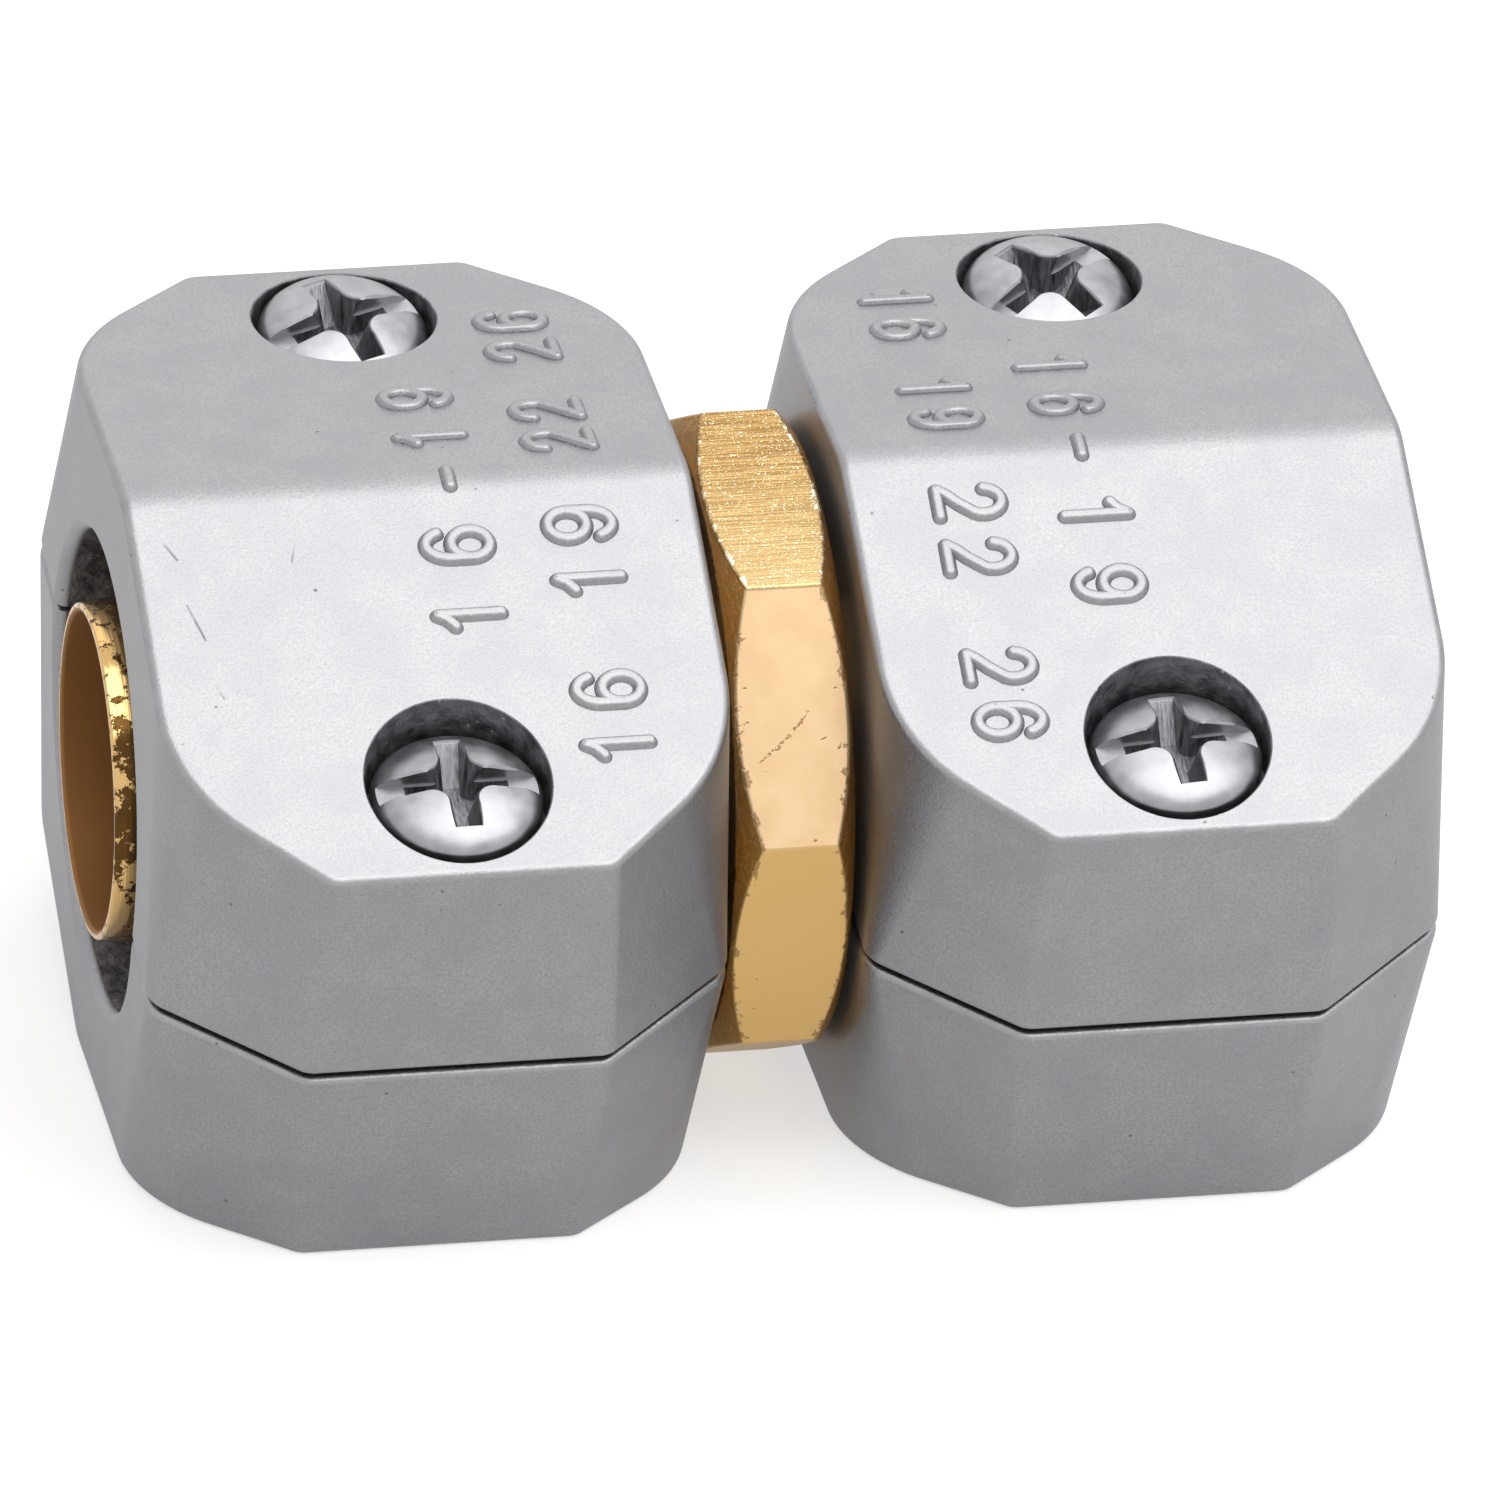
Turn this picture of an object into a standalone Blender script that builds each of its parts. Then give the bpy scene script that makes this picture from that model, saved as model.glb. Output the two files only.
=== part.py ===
"""Hose mender: a turned brass fitting with a barbed tube on each side, and a screwed clamp of two
die-cast shells over each tube.

Frame: the origin is the middle of the fitting on its bore, +X runs along the hose to the right and
+Z is up. The mender lies on the front slope of its lower shells, as it comes to rest on a table.

Everything is built in the clamps' own frame, whose +Z is the screws' direction and whose XY plane is
the parting plane of the shells. An empty then leans that frame over by the pitch of the shells' roofs.
"""
import math

import bmesh
import bpy
from mathutils import Matrix, Vector

MM = 0.001

# Brass fitting
TUBE_OUTER_DIAMETER = 15.9 * MM
TUBE_WALL = 0.6 * MM
TUBE_END_CHAMFER = 0.15 * MM
TUBE_BORE_CHAMFER = 0.2 * MM
TUBE_PROUD = 0.25 * MM
BARB_HEIGHT = 0.65 * MM
BARB_PITCH = 3.5 * MM
BARB_STEP = 0.2 * MM
FIRST_BARB_OFFSET = 2.2 * MM
PLAIN_TUBE_END = 3.4 * MM
COLLAR_WIDTH = 5.6 * MM
COLLAR_ACROSS_FLATS = 29.0 * MM
COLLAR_FLAT_WIDTH = 5.2 * MM
COLLAR_CHAMFER_ANGLE = math.radians(36)
NECK_DIAMETER = 17.8 * MM
STOP_DIAMETER = 20.8 * MM
STOP_WIDTH = 1.6 * MM
STOP_CHAMFER = 0.3 * MM

# Outline of a clamp where its shells meet
CLAMP_LENGTH = 26.9 * MM
CLAMP_WIDTH = 42.8 * MM
FRONT_FACE_LENGTH = 14.0 * MM
END_FACE_WIDTH = 32.0 * MM
END_CORNER_RADIUS = 1.5 * MM
FRONT_CORNER_RADIUS = 1.2 * MM

# Draft of a shell's sides, as the distance that each edge has moved in by the roof
END_DRAFT = 0.3 * MM
FRONT_DRAFT = 0.55 * MM
FRONT_CORNER_DRAFT = 0.54 * MM
END_CORNER_DRAFT = 0.86 * MM

# Roof of a shell: two slopes from a narrow crest
RIDGE_HEIGHT = 16.8 * MM
ROOF_PITCH = math.radians(14.2)
CREST_WIDTH = 1.5 * MM
ROOF_END_CORNER_RADIUS = 9.1 * MM
ROOF_EDGE_ROUND = 0.45 * MM
PARTING_EDGE_ROUND = 0.3 * MM
PARTING_GAP = 0.3 * MM

# Inside of a closed clamp
END_WALL = 2.0 * MM
HOSE_BORE_DIAMETER = 22.2 * MM
GRIP_RIB_HEIGHT = 0.7 * MM
GRIP_RIB_BASE = 1.8 * MM
GRIP_RIB_CREST = 0.4 * MM
GRIP_RIB_PITCH = 4.6 * MM
GRIP_MOUTH_LAND = 4.0 * MM

# Clamp screws: M4 pan heads with a cross and slot recess
SCREW_SPREAD = 31.8 * MM
SCREW_LENGTH = 16.0 * MM
THREAD_DIAMETER = 3.54 * MM
SCREW_END_CHAMFER = 0.5 * MM
HEAD_DIAMETER = 7.9 * MM
HEAD_RIM_HEIGHT = 1.2 * MM
HEAD_DOME_HEIGHT = 1.5 * MM
HEAD_SEAT_HEIGHT = 10.4 * MM
SLOT_WIDTH = 1.2 * MM
SLOT_DEPTH = 1.0 * MM
CROSS_SPAN = 7.0 * MM
CROSS_WIDTH = 1.2 * MM
CROSS_DEPTH = 2.0 * MM
CROSS_BOTTOM_SPAN = 2.6 * MM
CROSS_BOTTOM_WIDTH = 0.8 * MM
CORE_DIAMETER = 3.0 * MM
CORE_BOTTOM_DIAMETER = 1.1 * MM
COUNTERBORE_DIAMETER = 8.52 * MM
TAPPED_HOLE_DEPTH = 8.0 * MM
DRILL_POINT_ANGLE = math.radians(59)
SLOT_TURN = {
    "left_front": math.radians(1),
    "left_back": math.radians(19.5),
    "right_front": math.radians(4.5),
    "right_back": math.radians(37),
}

# Clearances between pieces
END_PLAY = 0.35 * MM
NECK_PLAY = 0.3 * MM
STOP_PLAY = 0.3 * MM
SCREW_HOLE_PLAY = 0.5 * MM
THREAD_PLAY = 0.3 * MM
HEAD_SEAT_GAP = 0.3 * MM

# Places along the bore, from the middle of the fitting outwards
CLAMP_INNER_X = COLLAR_WIDTH / 2 + END_PLAY
CLAMP_CENTRE_X = CLAMP_INNER_X + CLAMP_LENGTH / 2
CLAMP_OUTER_X = CLAMP_INNER_X + CLAMP_LENGTH
END_WALL_X = CLAMP_INNER_X + END_WALL
STOP_X = END_WALL_X + STOP_PLAY
HOSE_SEAT_X = STOP_X + STOP_WIDTH
TUBE_END_X = CLAMP_OUTER_X + TUBE_PROUD

# How far a cutter reaches past the faces that it cuts, and the turned blank past the bar's corners
OVERCUT = 2.0 * MM
BAR_ALLOWANCE = 0.3 * MM

# Facets
ROUND_STEPS = 40
SMALL_ROUND_STEPS = 24
CORE_SIDES = 12
END_CORNER_STEPS = 6
FRONT_CORNER_STEPS = 2
ROOF_EDGE_STEPS = 2
DOME_STEPS = 5


def clear_scene():
    for obj in list(bpy.data.objects):
        bpy.data.objects.remove(obj, do_unlink=True)


def collection(name):
    made = bpy.data.collections.new(name)
    bpy.context.scene.collection.children.link(made)
    return made


def material(name, colour, roughness):
    made = bpy.data.materials.new(name)
    made.use_nodes = True
    shader = made.node_tree.nodes["Principled BSDF"]
    shader.inputs["Base Color"].default_value = (*colour, 1.0)
    shader.inputs["Metallic"].default_value = 1.0
    shader.inputs["Roughness"].default_value = roughness
    made.diffuse_color = (*colour, 1.0)
    return made


def empty(name, parent=None, rotation=(0, 0, 0)):
    made = bpy.data.objects.new(name, None)
    PARTS.objects.link(made)
    made.parent = parent
    made.rotation_euler = rotation
    return made


def place(name, mesh, parent, look=None, location=(0, 0, 0), rotation=(0, 0, 0)):
    """Adds an object for a mesh. One without a look is a cutter."""
    made = bpy.data.objects.new(name, mesh)
    made.parent = parent
    made.location = location
    made.rotation_euler = rotation
    if look is None:
        CUTTERS.objects.link(made)
        made.hide_render = True
        made.display_type = "WIRE"
        return made
    PARTS.objects.link(made)
    if not mesh.materials:
        mesh.materials.append(look)
    return made


def profile_mesh(name, points, closed=False):
    """A lathe profile of (radius, height) points, run down its outer side."""
    mesh = bpy.data.meshes.new(name)
    edges = [(i, i + 1) for i in range(len(points) - 1)]
    if closed:
        edges.append((len(points) - 1, 0))
    mesh.from_pydata([(r, 0, z) for r, z in points], edges, [])
    return mesh


def spin(obj, steps):
    """Turns the object's profile a full circle about its own Z."""
    screw = obj.modifiers.new("Spin", "SCREW")
    screw.steps = screw.render_steps = steps
    screw.use_merge_vertices = True
    screw.merge_threshold = 0.00001
    screw.use_smooth_shade = True


def boolean(obj, operation, cutter):
    cut = obj.modifiers.new(cutter.name, "BOOLEAN")
    cut.operation = operation
    cut.solver = "EXACT"
    cut.object = cutter


def fillet(before, corner, after, radius, steps):
    """Points of the arc that rounds a corner between two straight runs, taken anticlockwise."""
    corner = Vector(corner)
    back = (Vector(before) - corner).normalized()
    ahead = (Vector(after) - corner).normalized()
    half = back.angle(ahead) / 2
    centre = corner + (back + ahead).normalized() * radius / math.sin(half)
    start = corner + back * radius / math.tan(half) - centre
    turn = math.pi - 2 * half
    return [centre + Matrix.Rotation(turn * k / steps, 2) @ start for k in range(steps + 1)]


def clamp_outline(length, width, front_length, end_width, end_radius):
    """An eight-sided outline with rounded corners, anticlockwise from where the crest meets its +X end."""
    end_corner, front_corner = (length / 2, end_width / 2), (front_length / 2, width / 2)
    quarter = [Vector((length / 2, CREST_WIDTH / 2))]
    quarter += fillet((length / 2, 0), end_corner, front_corner, end_radius, END_CORNER_STEPS)
    quarter += fillet(end_corner, front_corner, (0, width / 2), FRONT_CORNER_RADIUS, FRONT_CORNER_STEPS)
    back = quarter + [Vector((-p.x, p.y)) for p in reversed(quarter)]
    return back + [-p for p in back]


def roof_height(y):
    """Height of two slopes that meet in a narrow level crest."""
    return RIDGE_HEIGHT - max(abs(y), CREST_WIDTH / 2) * math.tan(ROOF_PITCH)


def shell_blank():
    """Outside of one shell: a loft from the parting outline up to the roof's outline, centred on the bore."""
    parting = clamp_outline(CLAMP_LENGTH, CLAMP_WIDTH, FRONT_FACE_LENGTH, END_FACE_WIDTH, END_CORNER_RADIUS)
    roof = clamp_outline(CLAMP_LENGTH - 2 * END_DRAFT, CLAMP_WIDTH - 2 * FRONT_DRAFT,
                         FRONT_FACE_LENGTH - 2 * FRONT_CORNER_DRAFT, END_FACE_WIDTH - 2 * END_CORNER_DRAFT,
                         ROOF_END_CORNER_RADIUS)
    bm = bmesh.new()
    lower = [bm.verts.new((p.x, p.y, PARTING_GAP / 2)) for p in parting]
    upper = [bm.verts.new((p.x, p.y, roof_height(p.y))) for p in roof]
    count = len(lower)
    for i in range(count):
        j = (i + 1) % count
        bm.faces.new((lower[i], lower[j], upper[j], upper[i]))
    bm.faces.new(reversed(lower))
    back, front = upper[:count // 2], upper[count // 2:]
    bm.faces.new(back)
    bm.faces.new(front)
    bm.faces.new((front[-1], back[0], back[-1], front[0]))
    weight = bm.edges.layers.float.new("bevel_weight_edge")
    for ring, share in ((lower, PARTING_EDGE_ROUND / ROOF_EDGE_ROUND), (upper, 1.0)):
        for i in range(count):
            bm.edges.get((ring[i], ring[(i + 1) % count]))[weight] = share
    mesh = bpy.data.meshes.new("shell_blank")
    bm.to_mesh(mesh)
    bm.free()
    return mesh


def cavity_profile():
    """Inside of a closed clamp: the hose bore with its grip ribs, then the smaller hole round the neck."""
    bore = HOSE_BORE_DIAMETER / 2
    neck = NECK_DIAMETER / 2 + NECK_PLAY
    points = [(0, CLAMP_OUTER_X + OVERCUT), (bore, CLAMP_OUTER_X + OVERCUT)]
    first = CLAMP_OUTER_X - GRIP_MOUTH_LAND
    for k in range(int((first - HOSE_SEAT_X) / GRIP_RIB_PITCH)):
        middle = first - k * GRIP_RIB_PITCH - GRIP_RIB_BASE / 2
        points += [(bore, middle + GRIP_RIB_BASE / 2),
                   (bore - GRIP_RIB_HEIGHT, middle + GRIP_RIB_CREST / 2),
                   (bore - GRIP_RIB_HEIGHT, middle - GRIP_RIB_CREST / 2),
                   (bore, middle - GRIP_RIB_BASE / 2)]
    return points + [(bore, END_WALL_X), (neck, END_WALL_X), (neck, CLAMP_INNER_X - OVERCUT),
                     (0, CLAMP_INNER_X - OVERCUT)]


def upper_hole_profile():
    """Counterbore for the screw's head, above a clearance hole for its shank."""
    head = COUNTERBORE_DIAMETER / 2
    shank = THREAD_DIAMETER / 2 + SCREW_HOLE_PLAY
    floor = HEAD_SEAT_HEIGHT - HEAD_SEAT_GAP
    return [(0, RIDGE_HEIGHT + OVERCUT), (head, RIDGE_HEIGHT + OVERCUT), (head, floor), (shank, floor),
            (shank, -OVERCUT), (0, -OVERCUT)]


def tapped_hole_profile():
    """Blind hole with a drill point, down from the parting plane."""
    radius = THREAD_DIAMETER / 2 + THREAD_PLAY
    return [(0, OVERCUT), (radius, OVERCUT), (radius, -TAPPED_HOLE_DEPTH),
            (0, -TAPPED_HOLE_DEPTH - radius / math.tan(DRILL_POINT_ANGLE))]


def fitting_profile():
    """Closed profile of the fitting: down the outside from its +X end, and back up the bore."""
    tube = TUBE_OUTER_DIAMETER / 2
    bore = tube - TUBE_WALL
    neck, stop = NECK_DIAMETER / 2, STOP_DIAMETER / 2
    flat = COLLAR_ACROSS_FLATS / 2
    corner = flat / math.cos(math.pi / 8) + BAR_ALLOWANCE
    slope = math.tan(COLLAR_CHAMFER_ANGLE)
    half = [
        (corner, COLLAR_FLAT_WIDTH / 2 - (corner - flat) * slope),
        (flat - (COLLAR_WIDTH - COLLAR_FLAT_WIDTH) / 2 / slope, COLLAR_WIDTH / 2),
        (neck, COLLAR_WIDTH / 2),
        (neck, STOP_X),
        (stop - STOP_CHAMFER, STOP_X),
        (stop, STOP_X + STOP_CHAMFER),
        (stop, HOSE_SEAT_X - STOP_CHAMFER),
        (stop - STOP_CHAMFER, HOSE_SEAT_X),
        (tube, HOSE_SEAT_X),
    ]
    foot = HOSE_SEAT_X + FIRST_BARB_OFFSET
    while foot + BARB_PITCH <= TUBE_END_X - PLAIN_TUBE_END:
        half += [(tube, foot), (tube + BARB_HEIGHT, foot + BARB_STEP)]
        foot += BARB_PITCH
    half += [(tube, foot), (tube, TUBE_END_X - TUBE_END_CHAMFER), (tube - TUBE_END_CHAMFER, TUBE_END_X)]
    outside = list(reversed(half)) + [(r, -x) for r, x in half]
    rim = bore + TUBE_BORE_CHAMFER
    inside = [(rim, -TUBE_END_X), (bore, TUBE_BORE_CHAMFER - TUBE_END_X),
              (bore, TUBE_END_X - TUBE_BORE_CHAMFER), (rim, TUBE_END_X)]
    return outside + inside


def screw_profile():
    """Pan head and plain shank, with the head's underside at height 0."""
    head, shank = HEAD_DIAMETER / 2, THREAD_DIAMETER / 2
    dome = []
    for k in range(DOME_STEPS + 1):
        turn = math.pi / 2 * k / DOME_STEPS
        dome.append((head * math.sin(turn), HEAD_RIM_HEIGHT + HEAD_DOME_HEIGHT * math.cos(turn)))
    return dome + [(head, 0), (shank, 0), (shank, SCREW_END_CHAMFER - SCREW_LENGTH),
                   (shank - SCREW_END_CHAMFER, -SCREW_LENGTH), (0, -SCREW_LENGTH)]


def recess_tool(name, depth, top, bottom, sides=None):
    """A punch that narrows from its (length, width) at the head's top to that at its own foot.

    It is a bar, or a cone where a number of sides is given, and it goes on at the same taper above the head.
    """
    bm = bmesh.new()
    if sides:
        bmesh.ops.create_cone(bm, cap_ends=True, segments=sides, radius1=0.5, radius2=0.5, depth=1)
    else:
        bmesh.ops.create_cube(bm, size=1)
    foot = HEAD_RIM_HEIGHT + HEAD_DOME_HEIGHT - depth
    rise = depth + OVERCUT
    for vert in bm.verts:
        share = rise / depth if vert.co.z > 0 else 0
        length, width = (low + (high - low) * share for low, high in zip(bottom, top))
        vert.co = (vert.co.x * length, vert.co.y * width, foot + (rise if vert.co.z > 0 else 0))
    mesh = bpy.data.meshes.new(name)
    bm.to_mesh(mesh)
    bm.free()
    return mesh


def octagonal_bar():
    """The bar that the fitting is turned from, with a flat on top."""
    bm = bmesh.new()
    radius = COLLAR_ACROSS_FLATS / 2 / math.cos(math.pi / 8)
    bmesh.ops.create_cone(bm, cap_ends=True, segments=8, radius1=radius, radius2=radius,
                          depth=2 * (TUBE_END_X + OVERCUT), matrix=Matrix.Rotation(math.pi / 8, 4, "Z"))
    mesh = bpy.data.meshes.new("octagonal_bar")
    bm.to_mesh(mesh)
    bm.free()
    return mesh


def build_fitting(frame):
    along_x = (0, math.pi / 2, 0)
    look = material("turned_brass", (0.70, 0.43, 0.13), 0.22)
    fitting = place("barb_fitting", profile_mesh("barb_fitting", fitting_profile(), closed=True), frame, look,
                    rotation=along_x)
    spin(fitting, ROUND_STEPS)
    boolean(fitting, "INTERSECT", place("octagonal_bar", octagonal_bar(), frame, rotation=along_x))


def build_screws(side, frame, spots):
    """Both screws of one clamp, each with its slot turned as it was left when it was tightened."""
    slot = (HEAD_DIAMETER + OVERCUT, SLOT_WIDTH)
    cross = recess_tool("cross", CROSS_DEPTH, (CROSS_SPAN, CROSS_WIDTH), (CROSS_BOTTOM_SPAN, CROSS_BOTTOM_WIDTH))
    recess = [
        ("slot", recess_tool("slot", SLOT_DEPTH, slot, slot), 0),
        ("cross_along", cross, 0),
        ("cross_over", cross, math.pi / 2),
        ("core", recess_tool("core", CROSS_DEPTH, (CORE_DIAMETER, CORE_DIAMETER),
                             (CORE_BOTTOM_DIAMETER, CORE_BOTTOM_DIAMETER), CORE_SIDES), 0),
    ]
    for end, (x, y) in spots.items():
        name = f"{side}_{end}_screw"
        location = (x, y, HEAD_SEAT_HEIGHT)
        turn = SLOT_TURN[f"{side}_{end}"]
        screw = place(name, profile_mesh(name, screw_profile()), frame, MATERIALS["screw"], location, (0, 0, turn))
        spin(screw, SMALL_ROUND_STEPS)
        for part, mesh, quarter in recess:
            tool = place(f"{name}_{part}", mesh, frame, location=location, rotation=(0, 0, turn + quarter))
            boolean(screw, "DIFFERENCE", tool)


def build_clamp(side, turn):
    """One clamp: the same two shells on both sides, turned half round on the right to make the left."""
    frame = empty(f"{side}_clamp", LEAN, (0, 0, turn))
    front = -1 if side == "right" else 1
    spots = {"front": (CLAMP_CENTRE_X, front * SCREW_SPREAD / 2),
             "back": (CLAMP_CENTRE_X, -front * SCREW_SPREAD / 2)}
    look = MATERIALS["shell"]
    centre = (CLAMP_CENTRE_X, 0, 0)
    upper = place(f"{side}_upper_shell", BLANK, frame, look, centre)
    lower = place(f"{side}_lower_shell", BLANK, frame, look, centre, (math.pi, 0, 0))
    cavity = place(f"{side}_cavity", profile_mesh("cavity", cavity_profile()), frame,
                   rotation=(0, math.pi / 2, 0))
    spin(cavity, ROUND_STEPS)
    for shell, profile in ((upper, upper_hole_profile()), (lower, tapped_hole_profile())):
        bevel = shell.modifiers.new("Edges", "BEVEL")
        bevel.limit_method = "WEIGHT"
        bevel.width = ROOF_EDGE_ROUND
        bevel.segments = ROOF_EDGE_STEPS
        boolean(shell, "DIFFERENCE", cavity)
        for end, (x, y) in spots.items():
            hole = place(f"{shell.name}_{end}_hole", profile_mesh("hole", profile), frame, location=(x, y, 0))
            spin(hole, SMALL_ROUND_STEPS)
            boolean(shell, "DIFFERENCE", hole)
    build_screws(side, frame, spots)


clear_scene()
PARTS = collection("hose_mender")
CUTTERS = collection("cutters")
MATERIALS = {
    "shell": material("die_cast_zinc", (0.50, 0.50, 0.52), 0.42),
    "screw": material("zinc_plated_steel", (0.74, 0.74, 0.75), 0.22),
}
BLANK = shell_blank()
LEAN = empty("resting_lean", rotation=(ROOF_PITCH, 0, 0))
build_fitting(LEAN)
build_clamp("right", 0)
build_clamp("left", math.pi)
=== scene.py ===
"""Hose mender, dressed for its picture: a turned brass fitting, and a screwed clamp of two die-cast shells over
each of its barbed tubes.

Shapes are worked out in millimetres in the clamps' own frame, with the bore along X and the screws along Z. The
mender lies on the front slope of its lower shells, so that frame leans over by the pitch of the shells' roofs.
"""

import math

import bmesh
import bpy
import numpy as np
from mathutils import Matrix, Vector


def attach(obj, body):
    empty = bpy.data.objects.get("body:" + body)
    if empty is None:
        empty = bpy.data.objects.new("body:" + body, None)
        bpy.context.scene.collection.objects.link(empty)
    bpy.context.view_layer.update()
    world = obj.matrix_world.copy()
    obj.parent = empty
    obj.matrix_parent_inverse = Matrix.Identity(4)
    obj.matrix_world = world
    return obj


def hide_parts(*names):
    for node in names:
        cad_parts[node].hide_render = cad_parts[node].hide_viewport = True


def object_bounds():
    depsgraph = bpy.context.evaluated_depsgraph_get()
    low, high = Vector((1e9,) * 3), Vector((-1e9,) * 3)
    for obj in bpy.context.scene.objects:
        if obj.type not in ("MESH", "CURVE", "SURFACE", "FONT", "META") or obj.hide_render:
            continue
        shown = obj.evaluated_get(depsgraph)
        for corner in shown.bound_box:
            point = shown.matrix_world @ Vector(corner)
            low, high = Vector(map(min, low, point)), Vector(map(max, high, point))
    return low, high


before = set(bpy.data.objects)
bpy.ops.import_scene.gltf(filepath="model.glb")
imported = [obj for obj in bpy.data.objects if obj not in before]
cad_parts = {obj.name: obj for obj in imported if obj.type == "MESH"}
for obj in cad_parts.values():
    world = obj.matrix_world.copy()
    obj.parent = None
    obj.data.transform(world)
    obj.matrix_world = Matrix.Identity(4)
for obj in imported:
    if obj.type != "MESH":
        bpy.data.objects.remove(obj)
cad_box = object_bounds()
scene = bpy.context.scene

# Barbed fitting
#
# One piece of free-cutting brass, turned from octagonal bar: the wrench collar keeps the bar's drawn flats, and
# a tube with barbs runs out of it to each side, into the two hose ends.

MM = 0.001
ROOF_PITCH = math.radians(14.2)
RIGHT = Matrix.Rotation(ROOF_PITCH, 4, "X") @ Matrix.Scale(MM, 4)
LEFT = RIGHT @ Matrix.Rotation(math.pi, 4, "Z")

TUBE_RADIUS = 7.95
BORE_RADIUS = 7.35
TUBE_END_X = 30.3
BARB_HEIGHT = 0.65
BARB_STEP = 0.2
BARB_PITCH = 3.5
FIRST_BARB_X = 9.25
LEAD_IN_LENGTH, LEAD_IN_DEPTH = 1.4, 0.2
BARB_COUNT = 5
COLLAR_HALF_WIDTH = 2.8
FLAT_HALF_WIDTH = 2.6
FLAT_DISTANCE = 14.5
BAR_EDGE_RADIUS = 0.18
COLLAR_CHAMFER = math.tan(math.radians(36))
NECK_RADIUS = 8.9
STOP_RADIUS = 10.4
STOP_X = 5.45
HOSE_SEAT_X = 7.05


def octagon(turn):
    """Distance from the bore to the bar's surface at an angle from a flat's middle: the flat's distance over
    the angle's cosine, and past the point where the rounded edge starts, the far side of that edge's circle."""
    sector = math.pi / 4
    off_middle = np.abs((turn + sector / 2) % sector - sector / 2)
    centre = (FLAT_DISTANCE - BAR_EDGE_RADIUS) / math.cos(sector / 2)
    off_edge = sector / 2 - off_middle
    reach = np.sqrt(np.maximum(BAR_EDGE_RADIUS ** 2 - (centre * np.sin(off_edge)) ** 2, 0))
    start = math.atan(centre * math.sin(sector / 2) / FLAT_DISTANCE)
    return np.where(off_middle < start, FLAT_DISTANCE / np.cos(off_middle), centre * np.cos(off_edge) + reach)


def soften(profile, reach, steps=3):
    """A closed profile with each corner drawn as a parabola: it leaves the straight runs at a distance of reach
    from the corner, or 45 % along a short run, and its weights are (1 - t)^2, 2t(1 - t) and t^2."""
    def toward(run):
        return run * np.minimum(reach / np.maximum(np.linalg.norm(run, axis=-1, keepdims=True), 1e-9), 0.45)
    start = profile + toward(np.roll(profile, 1, 0) - profile)
    end = profile + toward(np.roll(profile, -1, 0) - profile)
    t = np.linspace(0, 1, steps + 1).reshape(1, -1, *[1] * (profile.ndim - 1))
    curve = (1 - t) ** 2 * start[:, None] + 2 * t * (1 - t) * profile[:, None] + t ** 2 * end[:, None]
    return curve.reshape(-1, *profile.shape[1:])


def quads(rows, columns, wrap_rows=False, wrap_columns=True):
    """Corner numbers of a grid's faces, which go on from the last row or column to the first where it wraps."""
    row = np.arange(rows if wrap_rows else rows - 1)[:, None]
    column = np.arange(columns if wrap_columns else columns - 1)[None, :]
    next_row, next_column = (row + 1) % rows, (column + 1) % columns
    corners = (row * columns + column, row * columns + next_column,
               next_row * columns + next_column, next_row * columns + column)
    return np.stack(corners, -1).reshape(-1, 4)


def surface(name, points, faces, material_index=0, edge=0.0):
    """A closed mesh of points and faces: poles and seams are merged, and all faces turned outwards. It has two
    empty material slots, one for its outside and one for cut faces. The edge attribute is 1 where tumbling rubs
    the metal, on the middle of a rounded edge, and 0 on faces."""
    mesh = bpy.data.meshes.new(name)
    mesh.from_pydata(points.reshape(-1, 3).tolist(), [], faces.tolist())
    for _ in range(2):
        mesh.materials.append(None)
    index = np.broadcast_to(material_index, len(faces)).astype(np.int32)
    mesh.polygons.foreach_set("material_index", index)
    share = np.broadcast_to(edge, points.shape[:-1]).astype(np.float32)
    mesh.attributes.new("edge", "FLOAT", "POINT").data.foreach_set("value", share.ravel())
    bm = bmesh.new()
    bm.from_mesh(mesh)
    bmesh.ops.remove_doubles(bm, verts=bm.verts, dist=0.0005)
    bmesh.ops.dissolve_degenerate(bm, edges=bm.edges, dist=0.0002)
    bmesh.ops.recalc_face_normals(bm, faces=bm.faces)
    bm.to_mesh(mesh)
    bm.free()
    return mesh


def turned(radius, along, turn):
    """Points of a turned shape about X: (x, r sin turn, r cos turn), for rows of radius and x."""
    radius, along = np.broadcast_arrays(radius, along)
    return np.stack((along, radius * np.sin(turn), radius * np.cos(turn)), -1)


def worked(mesh, *changes):
    """A mesh after its modifiers, each given as (kind, settings), with a tool's mesh in place of an object."""
    spare = [bpy.data.objects.new("work", mesh)]
    for kind, settings in changes:
        change = spare[0].modifiers.new(kind, kind)
        for key, value in settings.items():
            if isinstance(value, bpy.types.Mesh):
                spare.append(bpy.data.objects.new("tool", value))
                value = spare[-1]
            setattr(change, key, value)
    for obj in spare:
        scene.collection.objects.link(obj)
    graph = bpy.context.evaluated_depsgraph_get()
    made = bpy.data.meshes.new_from_object(spare[0].evaluated_get(graph), depsgraph=graph)
    for obj in spare:
        bpy.data.objects.remove(obj)
    return made


def shaded(mesh, sharp_angle=40):
    """A mesh shaded smooth up to a sharp angle, in which large faces keep their own flat normals."""
    mesh.shade_smooth()
    mesh.set_sharp_from_angle(angle=math.radians(sharp_angle))
    return worked(mesh, ("WEIGHTED_NORMAL", {"keep_sharp": True, "weight": 100}))


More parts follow.
